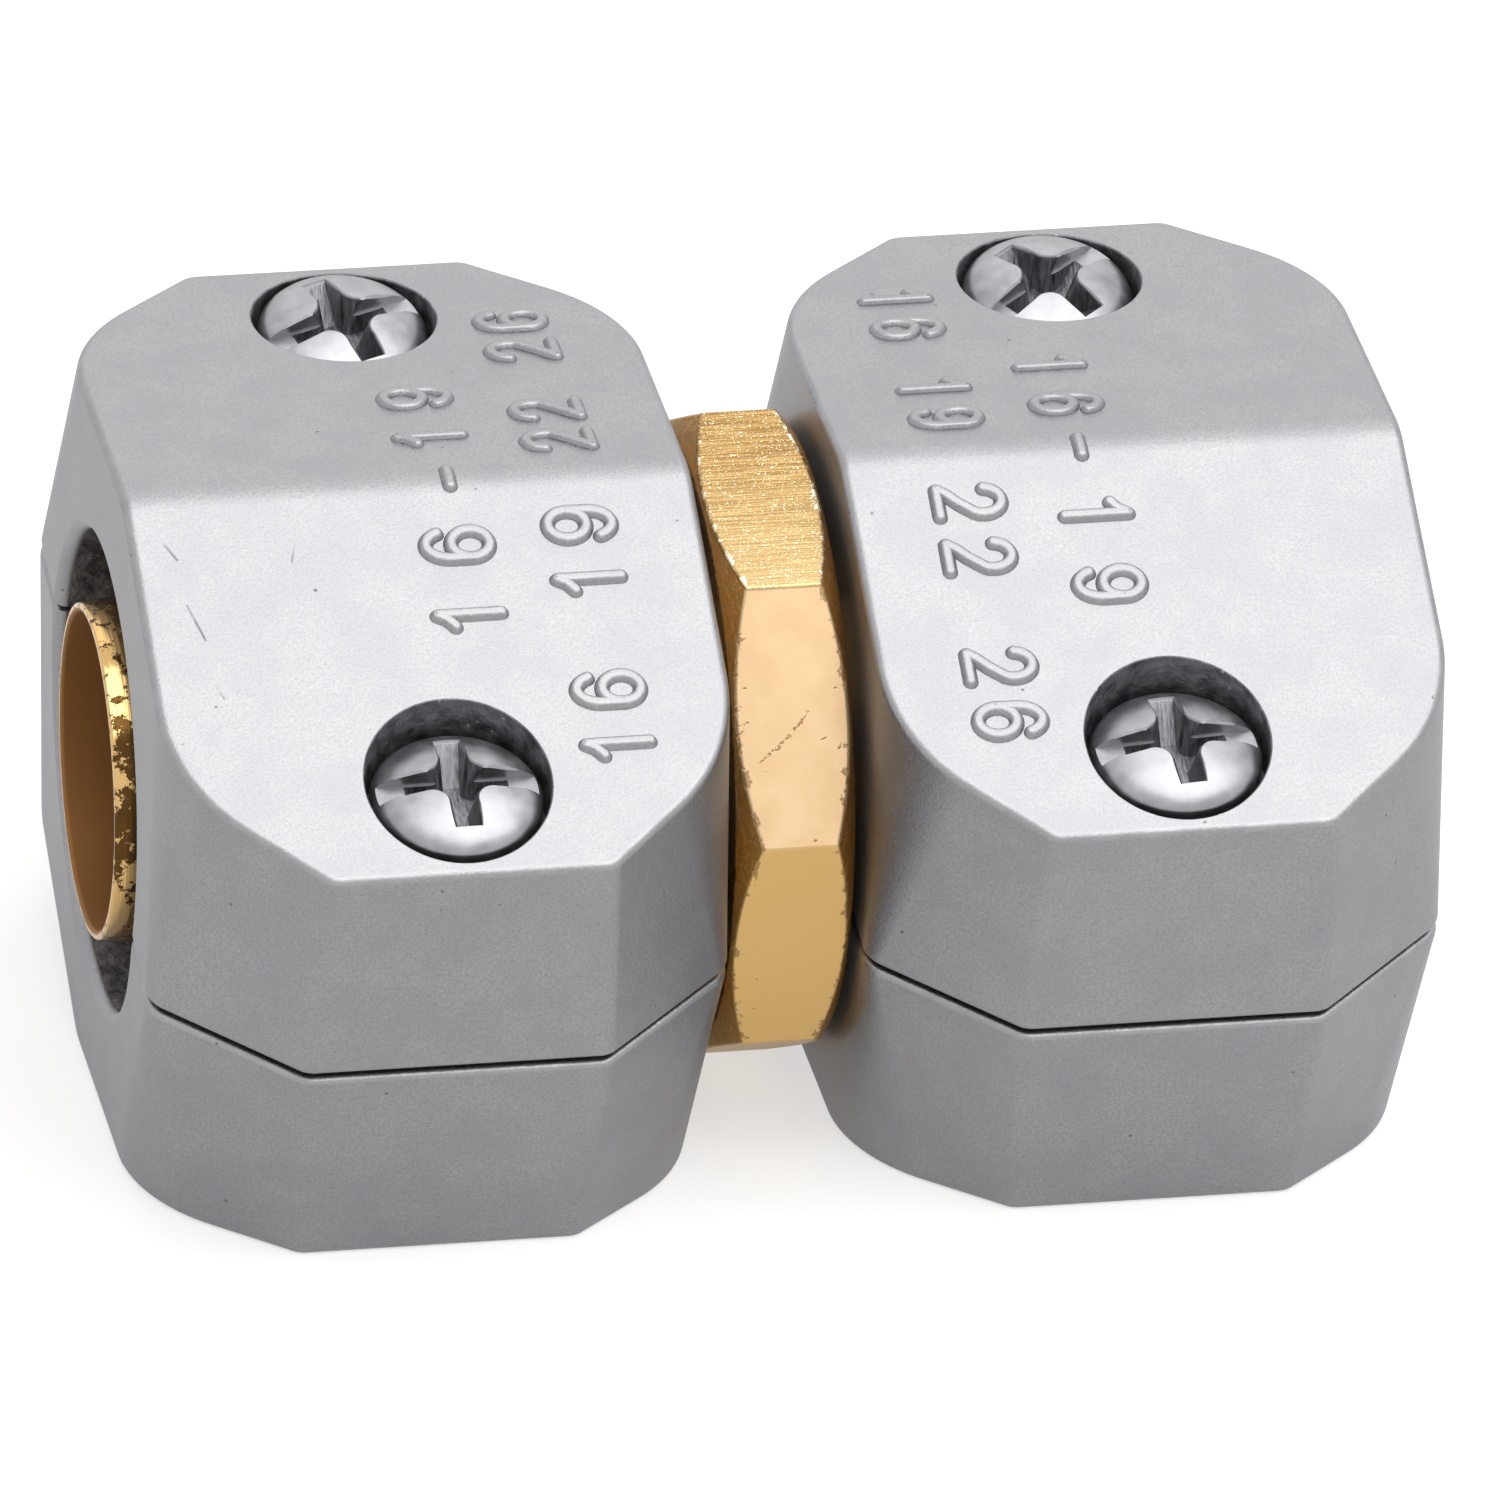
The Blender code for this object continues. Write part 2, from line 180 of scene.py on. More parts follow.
def add_piece(name, mesh, place, body, looks, replaced=None):
    """Puts a copy of a mesh where it belongs as a piece of the mender, ties it to its body, and hides the
    model's part that it takes the place of, if any. Its looks are those of its outside and of its cut faces."""
    mesh = mesh.copy()
    mesh.transform(place)
    for index, look in enumerate(looks):
        mesh.materials[index] = look
    piece = bpy.data.objects.new(name, mesh)
    scene.collection.objects.link(piece)
    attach(piece, body)
    if replaced:
        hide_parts(replaced)
    return piece


def linear(code):
    """An sRGB hex colour as linear red, green and blue, with alpha 1."""
    share = np.array([int(code[k:k + 2], 16) for k in (1, 3, 5)]) / 255
    return (*np.where(share <= 0.04045, share / 12.92, ((share + 0.055) / 1.055) ** 2.4).tolist(), 1.0)


def feed(fed, inputs):
    """Gives a node's inputs, by name or number, their values or the outputs that feed them."""
    for socket, value in inputs.items():
        if isinstance(value, bpy.types.NodeSocket):
            fed.id_data.links.new(value, fed.inputs[socket])
        else:
            fed.inputs[socket].default_value = value


def node(tree, kind, inputs=None, out=0, **settings):
    """Adds a node with its inputs and settings, and gives one of its outputs."""
    made = tree.nodes.new("ShaderNode" + kind)
    for key, value in settings.items():
        setattr(made, key, value)
    feed(made, inputs or {})
    return made.outputs[out]


def material(name):
    """A new material, its node tree, and the place of each point of the pieces that wear it."""
    made = bpy.data.materials.new(name)
    made.use_nodes = True
    return made, made.node_tree, node(made.node_tree, "TexCoord", out="Object")


def metal(made, tone, rough, relief, strength, depth, metallic=1.0):
    """A metal's material, once its shader has its tone, roughness and relief, so many millimetres deep."""
    bump = node(made.node_tree, "Bump", {"Height": relief, "Strength": strength, "Distance": depth * MM})
    feed(made.node_tree.nodes["Principled BSDF"],
         {"Base Color": tone, "Metallic": metallic, "Roughness": rough, "Normal": bump})
    return made


def repeats(*sizes):
    """How often a pattern repeats in a metre along X, Y and Z, from its sizes in millimetres."""
    return [1 / (size * MM) for size in sizes]


def scratches(tree, position, ends, width):
    """How deep a point lies in straight scratches: 1 on the lines between pairs of ends, and 0 past their
    width. A line's nearest point lies at the distance along it that is held between 0 and its length."""
    depth = None
    for start, end in ends:
        run = Vector(end) - Vector(start)
        away = node(tree, "VectorMath", {0: position, 1: start}, operation="SUBTRACT")
        along = node(tree, "VectorMath", {0: away, 1: run.normalized()}, "Value", operation="DOT_PRODUCT")
        held = node(tree, "Clamp", {"Value": along, "Max": run.length})
        foot = node(tree, "VectorMath", {0: run.normalized(), "Scale": held}, operation="SCALE")
        gap = node(tree, "VectorMath", {0: away, 1: foot}, "Value", operation="DISTANCE")
        line = node(tree, "MapRange", {"Value": gap, "From Min": width, "From Max": width * 0.3})
        depth = node(tree, "Math", {0: line, 1: depth}, operation="MAXIMUM") if depth else line
    return depth


# What many nodes share: a soft step from one limit to the other, a mix of two colours, and the whole and the
# middle of the span that a noise takes.
SMOOTH = {"interpolation_type": "SMOOTHSTEP"}
COLOUR = {"out": 2, "data_type": "RGBA"}
WHOLE, MIDDLE = ({"From Min": low, "From Max": 1 - low} for low in (0.3, 0.35))

# Where the fitting's looks change, in millimetres: by radius at the bore's wall and the collar's foot, by
# height at the top flat and the lower flats, by depth inside the cones at the skin's edge, by x near the tubes'
# ends, and to the front on the rubbed flat.
BORE_WALL, COLLAR_FOOT, TOP_FLAT, LOWER_FLATS = (7.58, 7.45), (12, 13), (14.36, 14.44), (6.1, 5.9)
SKIN_EDGE, CHIPPED_EDGE, TUBE_ENDS, RUBBED_FRONT = (-0.02, 0.03), (1.22, 1.12), (28.6, 29.4), (-3, 6)
# The sizes of its patterns, in millimetres, or their sizes along x, y and z. The rub lines and the feed rings
# are drawn coarser than emery and a turning tool leave them, so that they show.
RUB_LINE, FEED_RING = (3, 0.11, 0.11), (0.16, 9, 9)
SPARK, BEND, BLOTCH, NICK_SPACING, CLOUD = 0.09, 0.4, 0.7, 0.7, 2.2
SCRATCH_WIDTH, MOUTH_REFLECTION_WIDTH, WANDER, CHIP_DEPTH = 0.09, 2.2, 0.6, 2.4


def brass_finish():
    """Free-cutting brass, turned from drawn bar: a warm gold mirror where the tool cut it, drawn a brighter,
    deeper gold on the turned cones as painted light. The collar keeps the bar's drawn skin, smooth, with small
    nicks, paler on its upper flats and a deeper gold on its lower flats, which is painted light and shade. Its
    top flat is rubbed across, with lines that sparkle through painted glints. The tubes carry the rings of the
    tool's feed, and brown stains that gather towards their ends, partly tarnish and partly painted shade where
    they mirror the clamps' mouths, with two painted dark reflections of a mouth by the left tube's end, and the
    bore is dull and brown."""
    made, tree, position = material("drawn_and_turned_brass")
    axes = node(tree, "SeparateXYZ", {0: position}).node.outputs
    across = node(tree, "CombineXYZ", {"Y": axes["Y"], "Z": axes["Z"]})
    radius = node(tree, "VectorMath", {0: across}, "Value", operation="LENGTH")
    off_middle = node(tree, "Math", {0: axes["X"]}, operation="ABSOLUTE")
    lean, upright = math.sin(ROOF_PITCH), math.cos(ROOF_PITCH)
    rise = node(tree, "VectorMath", {0: position, 1: (0, -lean, upright)}, "Value", operation="DOT_PRODUCT")
    front = node(tree, "VectorMath", {0: position, 1: (0, -upright, -lean)}, "Value", operation="DOT_PRODUCT")

    # How far a point of the bar's skin lies inside the turned cones that cut the flats off at both sides.
    cone = (FLAT_HALF_WIDTH + FLAT_DISTANCE * COLLAR_CHAMFER) * MM
    inset = node(tree, "Math", {0: radius, 1: -COLLAR_CHAMFER, 2: cone}, operation="MULTIPLY_ADD")
    inset = node(tree, "Math", {0: inset, 1: off_middle}, operation="SUBTRACT")

    # Rub lines run along the fitting, and feed rings round it.
    lines = node(tree, "Mapping", {"Vector": position, "Scale": repeats(*RUB_LINE)})
    rings = node(tree, "Mapping", {"Vector": position, "Scale": repeats(*FEED_RING)})
    skew = node(tree, "Mapping", {"Vector": position, "Rotation": (0.6, 0.4, 0.9)})
    line, ring, spark, cloud = (
        node(tree, "TexNoise", {"Vector": place, "Scale": scale, "Detail": detail})
        for place, scale, detail in ((lines, 1, 3), (rings, 1, 2), (position, *repeats(SPARK), 2),
                                     (position, *repeats(CLOUD), 3)))
    blotch = node(tree, "TexNoise", {"Vector": skew, "Scale": 1 / (BLOTCH * MM), "Detail": 6, "Roughness": 0.7})
    ragged = node(tree, "Math", {0: blotch, 1: CHIP_DEPTH * MM, 2: inset}, operation="MULTIPLY_ADD")
    inside, collar, top, lower, skin, chip = (
        node(tree, "MapRange", {"Value": place, "From Min": start * MM, "From Max": end * MM}, **SMOOTH)
        for place, (start, end) in ((radius, BORE_WALL), (radius, COLLAR_FOOT), (rise, TOP_FLAT),
                                    (rise, LOWER_FLATS), (inset, SKIN_EDGE), (ragged, CHIPPED_EDGE)))
    skin = node(tree, "Math", {0: skin, 1: collar}, operation="MULTIPLY")
    rubbed = node(tree, "Math", {0: skin, 1: top}, operation="MULTIPLY")
    chip = node(tree, "Math", {0: chip, 1: skin}, operation="MULTIPLY")

    # Small nicks, and one scratch that wanders and breaks off in places.
    cells = node(tree, "TexVoronoi", {"Vector": position, "Scale": 1 / (NICK_SPACING * MM)}).node.outputs
    chance = node(tree, "SeparateColor", {0: cells["Color"]})
    dent = node(tree, "MapRange", {"Value": cells["Distance"], "From Min": 0.12, "From Max": 0.05}, **SMOOTH)
    chosen = node(tree, "Math", {0: chance, 1: 0.95}, operation="GREATER_THAN")
    nick = node(tree, "Math", {0: dent, 1: chosen}, operation="MULTIPLY")
    wander = node(tree, "TexNoise", {"Vector": position, "Scale": 1 / (BEND * MM), "Detail": 4}, "Color")
    wander = node(tree, "VectorMath", {0: wander, 1: (0.5, 0.5, 0.5)}, operation="SUBTRACT")
    wander = node(tree, "VectorMath", {0: wander, 1: (WANDER * MM,) * 3, 2: position}, operation="MULTIPLY_ADD")
    crack = scratches(tree, wander, NICKED_COLLAR, SCRATCH_WIDTH * MM)
    broken = node(tree, "MapRange", {"Value": spark, "From Min": 0.4, "From Max": 0.55}, **SMOOTH)
    crack = node(tree, "Math", {0: crack, 1: broken}, operation="MULTIPLY")
    nick = node(tree, "Math", {0: nick, 1: crack}, operation="MAXIMUM")

    # Brown patches cover the tubes where the blotches pass a level that falls towards their ends, and at two
    # painted dark reflections of a clamp's mouth: partly tarnish, and partly painted shade where the tubes
    # mirror the mouths.
    start, end = TUBE_ENDS
    level = node(tree, "MapRange", {"Value": off_middle, "From Min": start * MM, "From Max": end * MM,
                                    "To Min": 0.72, "To Max": 0.56}, **SMOOTH)
    above = node(tree, "Math", {0: blotch, 1: level}, operation="SUBTRACT")
    mouth_reflection = scratches(tree, wander, TUBE_MOUTH_REFLECTIONS, MOUTH_REFLECTION_WIDTH * MM)
    above = node(tree, "Math", {0: mouth_reflection, 1: 0.15, 2: above}, operation="MULTIPLY_ADD")
    stain_and_reflection = node(tree, "MapRange", {"Value": above, "From Min": 0.0, "From Max": 0.03}, **SMOOTH)
    tube = node(tree, "Math", {0: 1.0, 1: collar}, operation="SUBTRACT")
    tube = node(tree, "Math", {0: tube, 1: inside}, operation="SUBTRACT", use_clamp=True)
    stain_and_reflection = node(tree, "Math", {0: stain_and_reflection, 1: tube}, operation="MULTIPLY")

    pale = node(tree, "MapRange", {"Value": cloud, **WHOLE}, **SMOOTH)
    edge_dirt = node(tree, "Math", {0: chip, 1: 0.6}, operation="MULTIPLY")
    streak = node(tree, "MapRange", {"Value": line, **MIDDLE}, **SMOOTH)
    start, end = RUBBED_FRONT
    front = node(tree, "MapRange", {"Value": front, "From Min": start * MM, "From Max": end * MM,
                                    "To Max": 0.5})
    # Painted glints: fine sparkles, and the top flat's chipped edges, drawn near white on the rubbed flat.
    painted_glint = node(tree, "MapRange", {"Value": spark, "From Min": 0.6, "From Max": 0.68}, **SMOOTH)
    painted_glint = node(tree, "Math", {0: painted_glint, 1: chip}, operation="MAXIMUM")
    drawn, rub_tone, gold = linear("#CFAF86"), linear("#8C6C3C"), linear("#DDB679")
    # The skin is paler on the upper flats and a deeper gold on the lower flats: painted light and shade, set by
    # height for how the light falls on them.
    for share, tone in ((pale, "#D7B992"), (lower, "#DAB374"), (edge_dirt, "#7A5A30")):
        drawn = node(tree, "Mix", {0: share, 6: drawn, 7: linear(tone)}, **COLOUR)
    for share, tone in ((streak, "#B6945E"), (front, "#D9BD8A"), (painted_glint, "#FFF0D0")):
        rub_tone = node(tree, "Mix", {0: share, 6: rub_tone, 7: linear(tone)}, **COLOUR)
    drawn = node(tree, "Mix", {0: rubbed, 6: drawn, 7: rub_tone}, **COLOUR)
    # The turned cones, the collar outside its skin, are drawn a brighter, deeper gold than the tubes: painted
    # light, as they mirror the clamps' grey end faces.
    for share, tone in ((collar, linear("#F0B24E")), (skin, drawn), (inside, linear("#A0703A")),
                        (nick, linear("#A5804C")), (stain_and_reflection, linear("#5A4020"))):
        gold = node(tree, "Mix", {0: share, 6: gold, 7: tone}, **COLOUR)

    bare = node(tree, "Mix", {0: inside, 2: 1.0, 3: 0.45})
    rough = node(tree, "MapRange", {"Value": ring, **WHOLE, "To Min": 0.08, "To Max": 0.2})
    for share, value in ((collar, 0.38), (skin, 0.32), (inside, 0.6)):
        rough = node(tree, "Mix", {0: share, 2: rough, 3: value})
    coarse = node(tree, "Math", {0: spark, 1: 0.35, 2: line}, operation="MULTIPLY_ADD")
    fine = node(tree, "Math", {0: spark, 1: 0.08}, operation="MULTIPLY")
    turning = node(tree, "Math", {0: ring, 1: 0.12}, operation="MULTIPLY")
    relief = node(tree, "Mix", {0: skin, 2: turning, 3: fine})
    relief = node(tree, "Mix", {0: rubbed, 2: relief, 3: coarse})
    relief = node(tree, "Math", {0: relief, 1: nick}, operation="SUBTRACT")
    relief = node(tree, "Math", {0: chip, 1: -0.6, 2: relief}, operation="MULTIPLY_ADD")
    relief = node(tree, "Math", {0: relief, 1: stain_and_reflection}, operation="SUBTRACT")
    return metal(made, gold, rough, relief, 0.6, 0.06, bare)


def fitting_mesh():
    """The fitting: a closed profile of radius, x and each corner's softening, carried round the bore. Only the
    collar's corner points change with the angle, as the bar's edges stand further out and are turned off by a
    cone."""
    corner_half = math.atan((FLAT_DISTANCE - BAR_EDGE_RADIUS) * math.tan(math.pi / 8) / FLAT_DISTANCE)
    sector = np.concatenate((np.linspace(-corner_half, corner_half, 15),
                             np.linspace(corner_half, math.pi / 4 - corner_half, 8)[1:-1]))
    turn = (sector + np.arange(8)[:, None] * math.pi / 4).ravel()
    bar = octagon(turn)
    edge_x = FLAT_HALF_WIDTH - (bar - FLAT_DISTANCE) * COLLAR_CHAMFER
    foot = FIRST_BARB_X + BARB_PITCH * np.arange(BARB_COUNT)
    half = [(bar, edge_x, 0.14),
            (FLAT_DISTANCE - (COLLAR_HALF_WIDTH - FLAT_HALF_WIDTH) / COLLAR_CHAMFER, COLLAR_HALF_WIDTH, 0.1),
            (NECK_RADIUS, COLLAR_HALF_WIDTH, 0.2), (NECK_RADIUS, STOP_X, 0.2), (STOP_RADIUS, STOP_X, 0.3),
            (STOP_RADIUS, HOSE_SEAT_X, 0.3), (TUBE_RADIUS, HOSE_SEAT_X, 0.15)]
    for x in foot:
        half += [(TUBE_RADIUS, x, 0.05), (TUBE_RADIUS + BARB_HEIGHT, x + BARB_STEP, 0.09)]
    half += [(TUBE_RADIUS, foot[-1] + BARB_PITCH, 0.05), (TUBE_RADIUS, TUBE_END_X - LEAD_IN_LENGTH, 0.5),
             (TUBE_RADIUS - LEAD_IN_DEPTH, TUBE_END_X, 0.12)]
    inside = [(BORE_RADIUS, -TUBE_END_X, 0.2), (BORE_RADIUS, TUBE_END_X, 0.2)]
    profile = half[::-1] + [(radius, -x, reach) for radius, x, reach in half] + inside
    rows = np.array([[np.broadcast_to(radius, turn.shape), np.broadcast_to(x, turn.shape)]
                     for radius, x, _ in profile]).swapaxes(1, 2)
    reach = np.array([point[2] for point in profile])[:, None, None]
    rows = soften(rows, reach)
    return surface("fitting", turned(rows[..., 0], rows[..., 1], turn), quads(len(rows), len(turn), True))


# A scratch across the collar's upper front flat and nicks beside it, by their ends in the clamps' frame, in
# millimetres along the fitting and to the front.
NICKED_COLLAR = [[RIGHT @ Vector((x, -y, FLAT_DISTANCE * math.sqrt(2) - y)) for x, y in ends] for ends in (
    ((-1.66, 11.74), (-1.22, 11.51)), ((-1.22, 11.51), (-0.56, 11.1)), ((-0.56, 11.1), (0.26, 10.51)),
    ((0.26, 10.51), (0.72, 10.14)), ((1.37, 11.06), (1.45, 11.0)), ((2.08, 11.36), (2.16, 11.3)))]
# The middles of two painted dark reflections of a clamp's mouth, brown marks by the left tube's end: x, y and z
# in the clamps' frame, in millimetres.
TUBE_MOUTH_REFLECTIONS = [[RIGHT @ Vector(place) for place in ends] for ends in (
    ((-29.4, -6.9, 3.7), (-29.8, -7.5, 2.3)), ((-28.6, -5.0, 6.1), (-28.3, -6.0, 5.2)))]
BRASS = brass_finish()
add_piece("fitting_turned_brass", shaded(fitting_mesh(), 50), RIGHT, "barb_fitting", (BRASS, BRASS),
          "barb_fitting")

# Clamp shells
#
# Two alike halves of die-cast zinc close each clamp. The outside is as it left the tumbling barrel: satin, with
# a fine grain, soft edges and small pits, while the bores stay as cast, rougher, and darker, partly from the
# casting skin and partly as painted shade in the deep holes.

CLAMP_CENTRE_X = 16.6
CLAMP_LENGTH = 26.9
CLAMP_WIDTH = 42.8
FRONT_FACE_LENGTH = 14.0
END_FACE_WIDTH = 32.0
END_CORNER_RADIUS = 1.5
FRONT_CORNER_RADIUS = 1.2
ROOF_END_CORNER_RADIUS = 9.1
END_DRAFT, FRONT_DRAFT = 0.3, 0.55
FRONT_CORNER_DRAFT, END_CORNER_DRAFT = 0.54, 0.86
RIDGE_HEIGHT = 16.8
CREST_SOFTNESS = 0.9
ROOF_EDGE_ROUND = 0.45
PARTING_EDGE_ROUND = 0.3
PARTING_Z = 0.15
CLAMP_INNER_X, CLAMP_OUTER_X = 3.15, 30.05
END_WALL_X = 5.15
HOSE_BORE_RADIUS = 11.1
NECK_HOLE_RADIUS = 9.2
RIB_HEIGHT, RIB_BASE, RIB_CREST, RIB_PITCH, RIB_COUNT = 0.7, 1.8, 0.4, 4.6, 4
MOUTH_LAND = 4.0
MOUTH_ROUND = 0.6
RIB_SOFTNESS = 0.15
# The mouth's round turns by so many degrees, and then the tool runs straight out of the end face.
LIP_TURN, LIP_RUN_OUT = 81, 0.5
# How much lower the end face's top is for each millimetre of y.
END_FACE_FALL = 0.21
SCREW_Y = 15.9
COUNTERBORE_RADIUS = 4.26
COUNTERBORE_FLOOR_Z = 10.1
COUNTERBORE_ROUND = 0.09
SHANK_HOLE_RADIUS = 2.27
TAPPED_HOLE_RADIUS = 2.07
TAPPED_HOLE_DEPTH = 8.0
# How far a tool reaches past what it cuts.
CLEAR = 2.0


def corner_arc(before, corner, after, radius, steps):
    """Points and outward directions of the arc that rounds a corner between two straight runs."""
    corner = np.array(corner, dtype=float)
    back, ahead = (np.array(p, dtype=float) - corner for p in (before, after))
    back, ahead = back / np.linalg.norm(back), ahead / np.linalg.norm(ahead)
    half = math.acos(back @ ahead) / 2
    centre = corner + (back + ahead) / np.linalg.norm(back + ahead) * radius / math.sin(half)
    start = corner + back * radius / math.tan(half) - centre
    turn = np.linspace(0, math.pi - 2 * half, steps + 1) + math.atan2(start[1], start[0])
    outward = np.stack((np.cos(turn), np.sin(turn)), -1)
    return centre + radius * outward, outward


def outline(length, width, front_length, end_width, end_radius):
    """The eight-sided outline of a clamp with rounded corners, and its outward directions, anticlockwise from
    the middle of its +X end. The rows of points beside the middle carry the soft crest over the end."""
    end, front = (length / 2, end_width / 2), (front_length / 2, width / 2)
    crest = np.linspace(0, CREST_SOFTNESS, 9)[1:]
    crest_points = np.stack((np.full(crest.shape, length / 2), crest), -1)
    crest_outward = np.tile((1.0, 0.0), (len(crest), 1))
    end_arc, end_outward = corner_arc((length / 2, 0), end, front, end_radius, 16)
    front_arc, front_outward = corner_arc(end, front, (0, width / 2), FRONT_CORNER_RADIUS, 8)
    points = np.concatenate((crest_points, end_arc, front_arc))
    outward = np.concatenate((crest_outward, end_outward, front_outward))
    mirror = np.array((-1.0, 1.0))
    points = np.concatenate((((length / 2, 0),), points, points[::-1] * mirror))
    outward = np.concatenate((((1.0, 0.0),), outward, outward[::-1] * mirror))
    return np.concatenate((points, -points)), np.concatenate((outward, -outward))


def roof(y):
    """Height and slope of the roof: two planes that meet in a crest, rounded by a parabola that has the planes'
    slopes where it meets them."""
    fall = math.tan(ROOF_PITCH)
    near = np.abs(y) < CREST_SOFTNESS
    height = RIDGE_HEIGHT - fall * np.where(near, (y ** 2 / CREST_SOFTNESS + CREST_SOFTNESS) / 2, np.abs(y))
    return height, -fall * np.where(near, y / CREST_SOFTNESS, np.sign(y))


def unit(vectors):
    return vectors / np.linalg.norm(vectors, axis=-1, keepdims=True)


def rounded_edge(corner, first, second, radius, steps):
    """Rows of an arc that rounds an edge between two faces. The faces run off from each corner point along unit
    vectors, and the arc is that of a ball that touches both of them."""
    half = np.arccos((first * second).sum(-1, keepdims=True)) / 2
    centre = corner + unit(first + second) * radius / np.sin(half)
    start = corner + first * radius / np.tan(half) - centre
    end = corner + second * radius / np.tan(half) - centre
    whole = math.pi - 2 * half
    share = np.linspace(0, 1, steps + 1)[:, None, None]
    return centre + (np.sin((1 - share) * whole) * start + np.sin(share * whole) * end) / np.sin(whole)


def shell_blank():
    """Outside of an upper shell. Each outline point has a straight line up the wall from the parting face to
    the roof, with a round at both ends, and both faces are ruled between points that mirror each other in x."""
    parting, parting_out = outline(CLAMP_LENGTH, CLAMP_WIDTH, FRONT_FACE_LENGTH, END_FACE_WIDTH,
                                   END_CORNER_RADIUS)
    top, top_out = outline(CLAMP_LENGTH - 2 * END_DRAFT, CLAMP_WIDTH - 2 * FRONT_DRAFT,
                           FRONT_FACE_LENGTH - 2 * FRONT_CORNER_DRAFT, END_FACE_WIDTH - 2 * END_CORNER_DRAFT,
                           ROOF_END_CORNER_RADIUS)
    height, slope = roof(top[:, 1])
    level = np.zeros(len(top))
    low = np.column_stack((parting, level + PARTING_Z))
    high = np.column_stack((top, height))
    wall = unit(high - low)
    low_run = np.column_stack((-parting_out[:, 1], parting_out[:, 0], level))
    high_run = unit(np.column_stack((-top_out[:, 1], top_out[:, 0], slope * top_out[:, 0])))
    up = unit(wall - (wall * low_run).sum(-1, keepdims=True) * low_run)
    down = -unit(wall - (wall * high_run).sum(-1, keepdims=True) * high_run)
    roof_inward = unit(np.cross(np.column_stack((level, -slope, level + 1)), high_run))
    foot = rounded_edge(low, np.column_stack((-parting_out, level)), up, PARTING_EDGE_ROUND, 5)
    head = rounded_edge(high, down, roof_inward, ROOF_EDGE_ROUND, 8)
    share = np.linspace(0, 1, 8)[1:-1, None, None]
    rows = np.concatenate((foot, foot[-1] * (1 - share) + head[0] * share, head))
    rows[..., 0] += CLAMP_CENTRE_X
    edge = np.concatenate((np.sin(np.linspace(0, math.pi, 6)), np.zeros(6), np.sin(np.linspace(0, math.pi, 9))))
    count = len(top)
    quarter = count // 4
    here = np.arange(-quarter, quarter + 1)
    across = (count // 2 - here) % count
    ladder = np.stack((here[:-1] % count, here[1:] % count, across[1:], across[:-1]), -1)
    faces = np.concatenate((quads(len(rows), count), ladder, ladder + (len(rows) - 1) * count))
    return surface("shell_blank", rows, faces, edge=edge[:, None])


def cavity_tool():
    """What the core leaves: the hose bore with its grip ribs, and the smaller hole round the neck. The bore's
    profile flares by a quarter round where it leaves the drafted end face, whose x changes with the angle: the
    face falls back by its draft at the height of the roof above each point."""
    turn = np.linspace(0, 2 * math.pi, 161)[:-1]
    first_rib = CLAMP_OUTER_X - MOUTH_LAND - RIB_BASE / 2
    inner = [(NECK_HOLE_RADIUS, CLAMP_INNER_X - CLEAR), (NECK_HOLE_RADIUS, END_WALL_X),
             (HOSE_BORE_RADIUS, END_WALL_X)]
    for x in (first_rib - RIB_PITCH * np.arange(RIB_COUNT))[::-1]:
        inner += [(HOSE_BORE_RADIUS, x - RIB_BASE / 2), (HOSE_BORE_RADIUS - RIB_HEIGHT, x - RIB_CREST / 2),
                  (HOSE_BORE_RADIUS - RIB_HEIGHT, x + RIB_CREST / 2), (HOSE_BORE_RADIUS, x + RIB_BASE / 2)]
    # Of the first corner's four points only the last stays, so that the neck hole runs straight out.
    inner = soften(np.array(inner), RIB_SOFTNESS)[3:]
    height, side = np.abs(HOSE_BORE_RADIUS * np.cos(turn)), np.abs(HOSE_BORE_RADIUS * np.sin(turn))
    face_x = CLAMP_OUTER_X - END_DRAFT * height / (RIDGE_HEIGHT - END_FACE_FALL * side)
    bend = np.radians(np.linspace(0, LIP_TURN, 6))[:, None]
    lip_radius = HOSE_BORE_RADIUS + MOUTH_ROUND * (1 - np.cos(bend))
    lip_x = face_x - MOUTH_ROUND * (1 - np.sin(bend))
    out_radius = lip_radius[-1:] + LIP_RUN_OUT * np.sin(bend[-1:])
    out_x = lip_x[-1:] + LIP_RUN_OUT * np.cos(bend[-1:])
    level = np.ones((1, len(turn)))
    radius = np.concatenate([row * level for row in (
        np.zeros((1, 1)), inner[:, :1], lip_radius, out_radius, out_radius, np.zeros((1, 1)))])
    along = np.concatenate([row * level for row in (
        np.full((1, 1), CLAMP_INNER_X - CLEAR), inner[:, 1:], lip_x, out_x,
        np.full((2, 1), CLAMP_OUTER_X + CLEAR))])
    row = np.arange(len(radius) - 1)
    first_lip = 1 + len(inner)
    cast_and_shaded = np.where((row < first_lip) | (row > first_lip + len(bend)), 1, 0)
    return surface("cavity", turned(radius, along, turn), quads(len(radius), len(turn)),
                   np.repeat(cast_and_shaded, len(turn)))


def drilled(profile, y, turn):
    """Points of a hole's rows about its own upright axis, from a profile of radius and height."""
    radius, height = np.array(profile, dtype=float).T[..., None]
    return np.stack((CLAMP_CENTRE_X + radius * np.cos(turn), y + radius * np.sin(turn),
                     height + 0 * turn), -1)


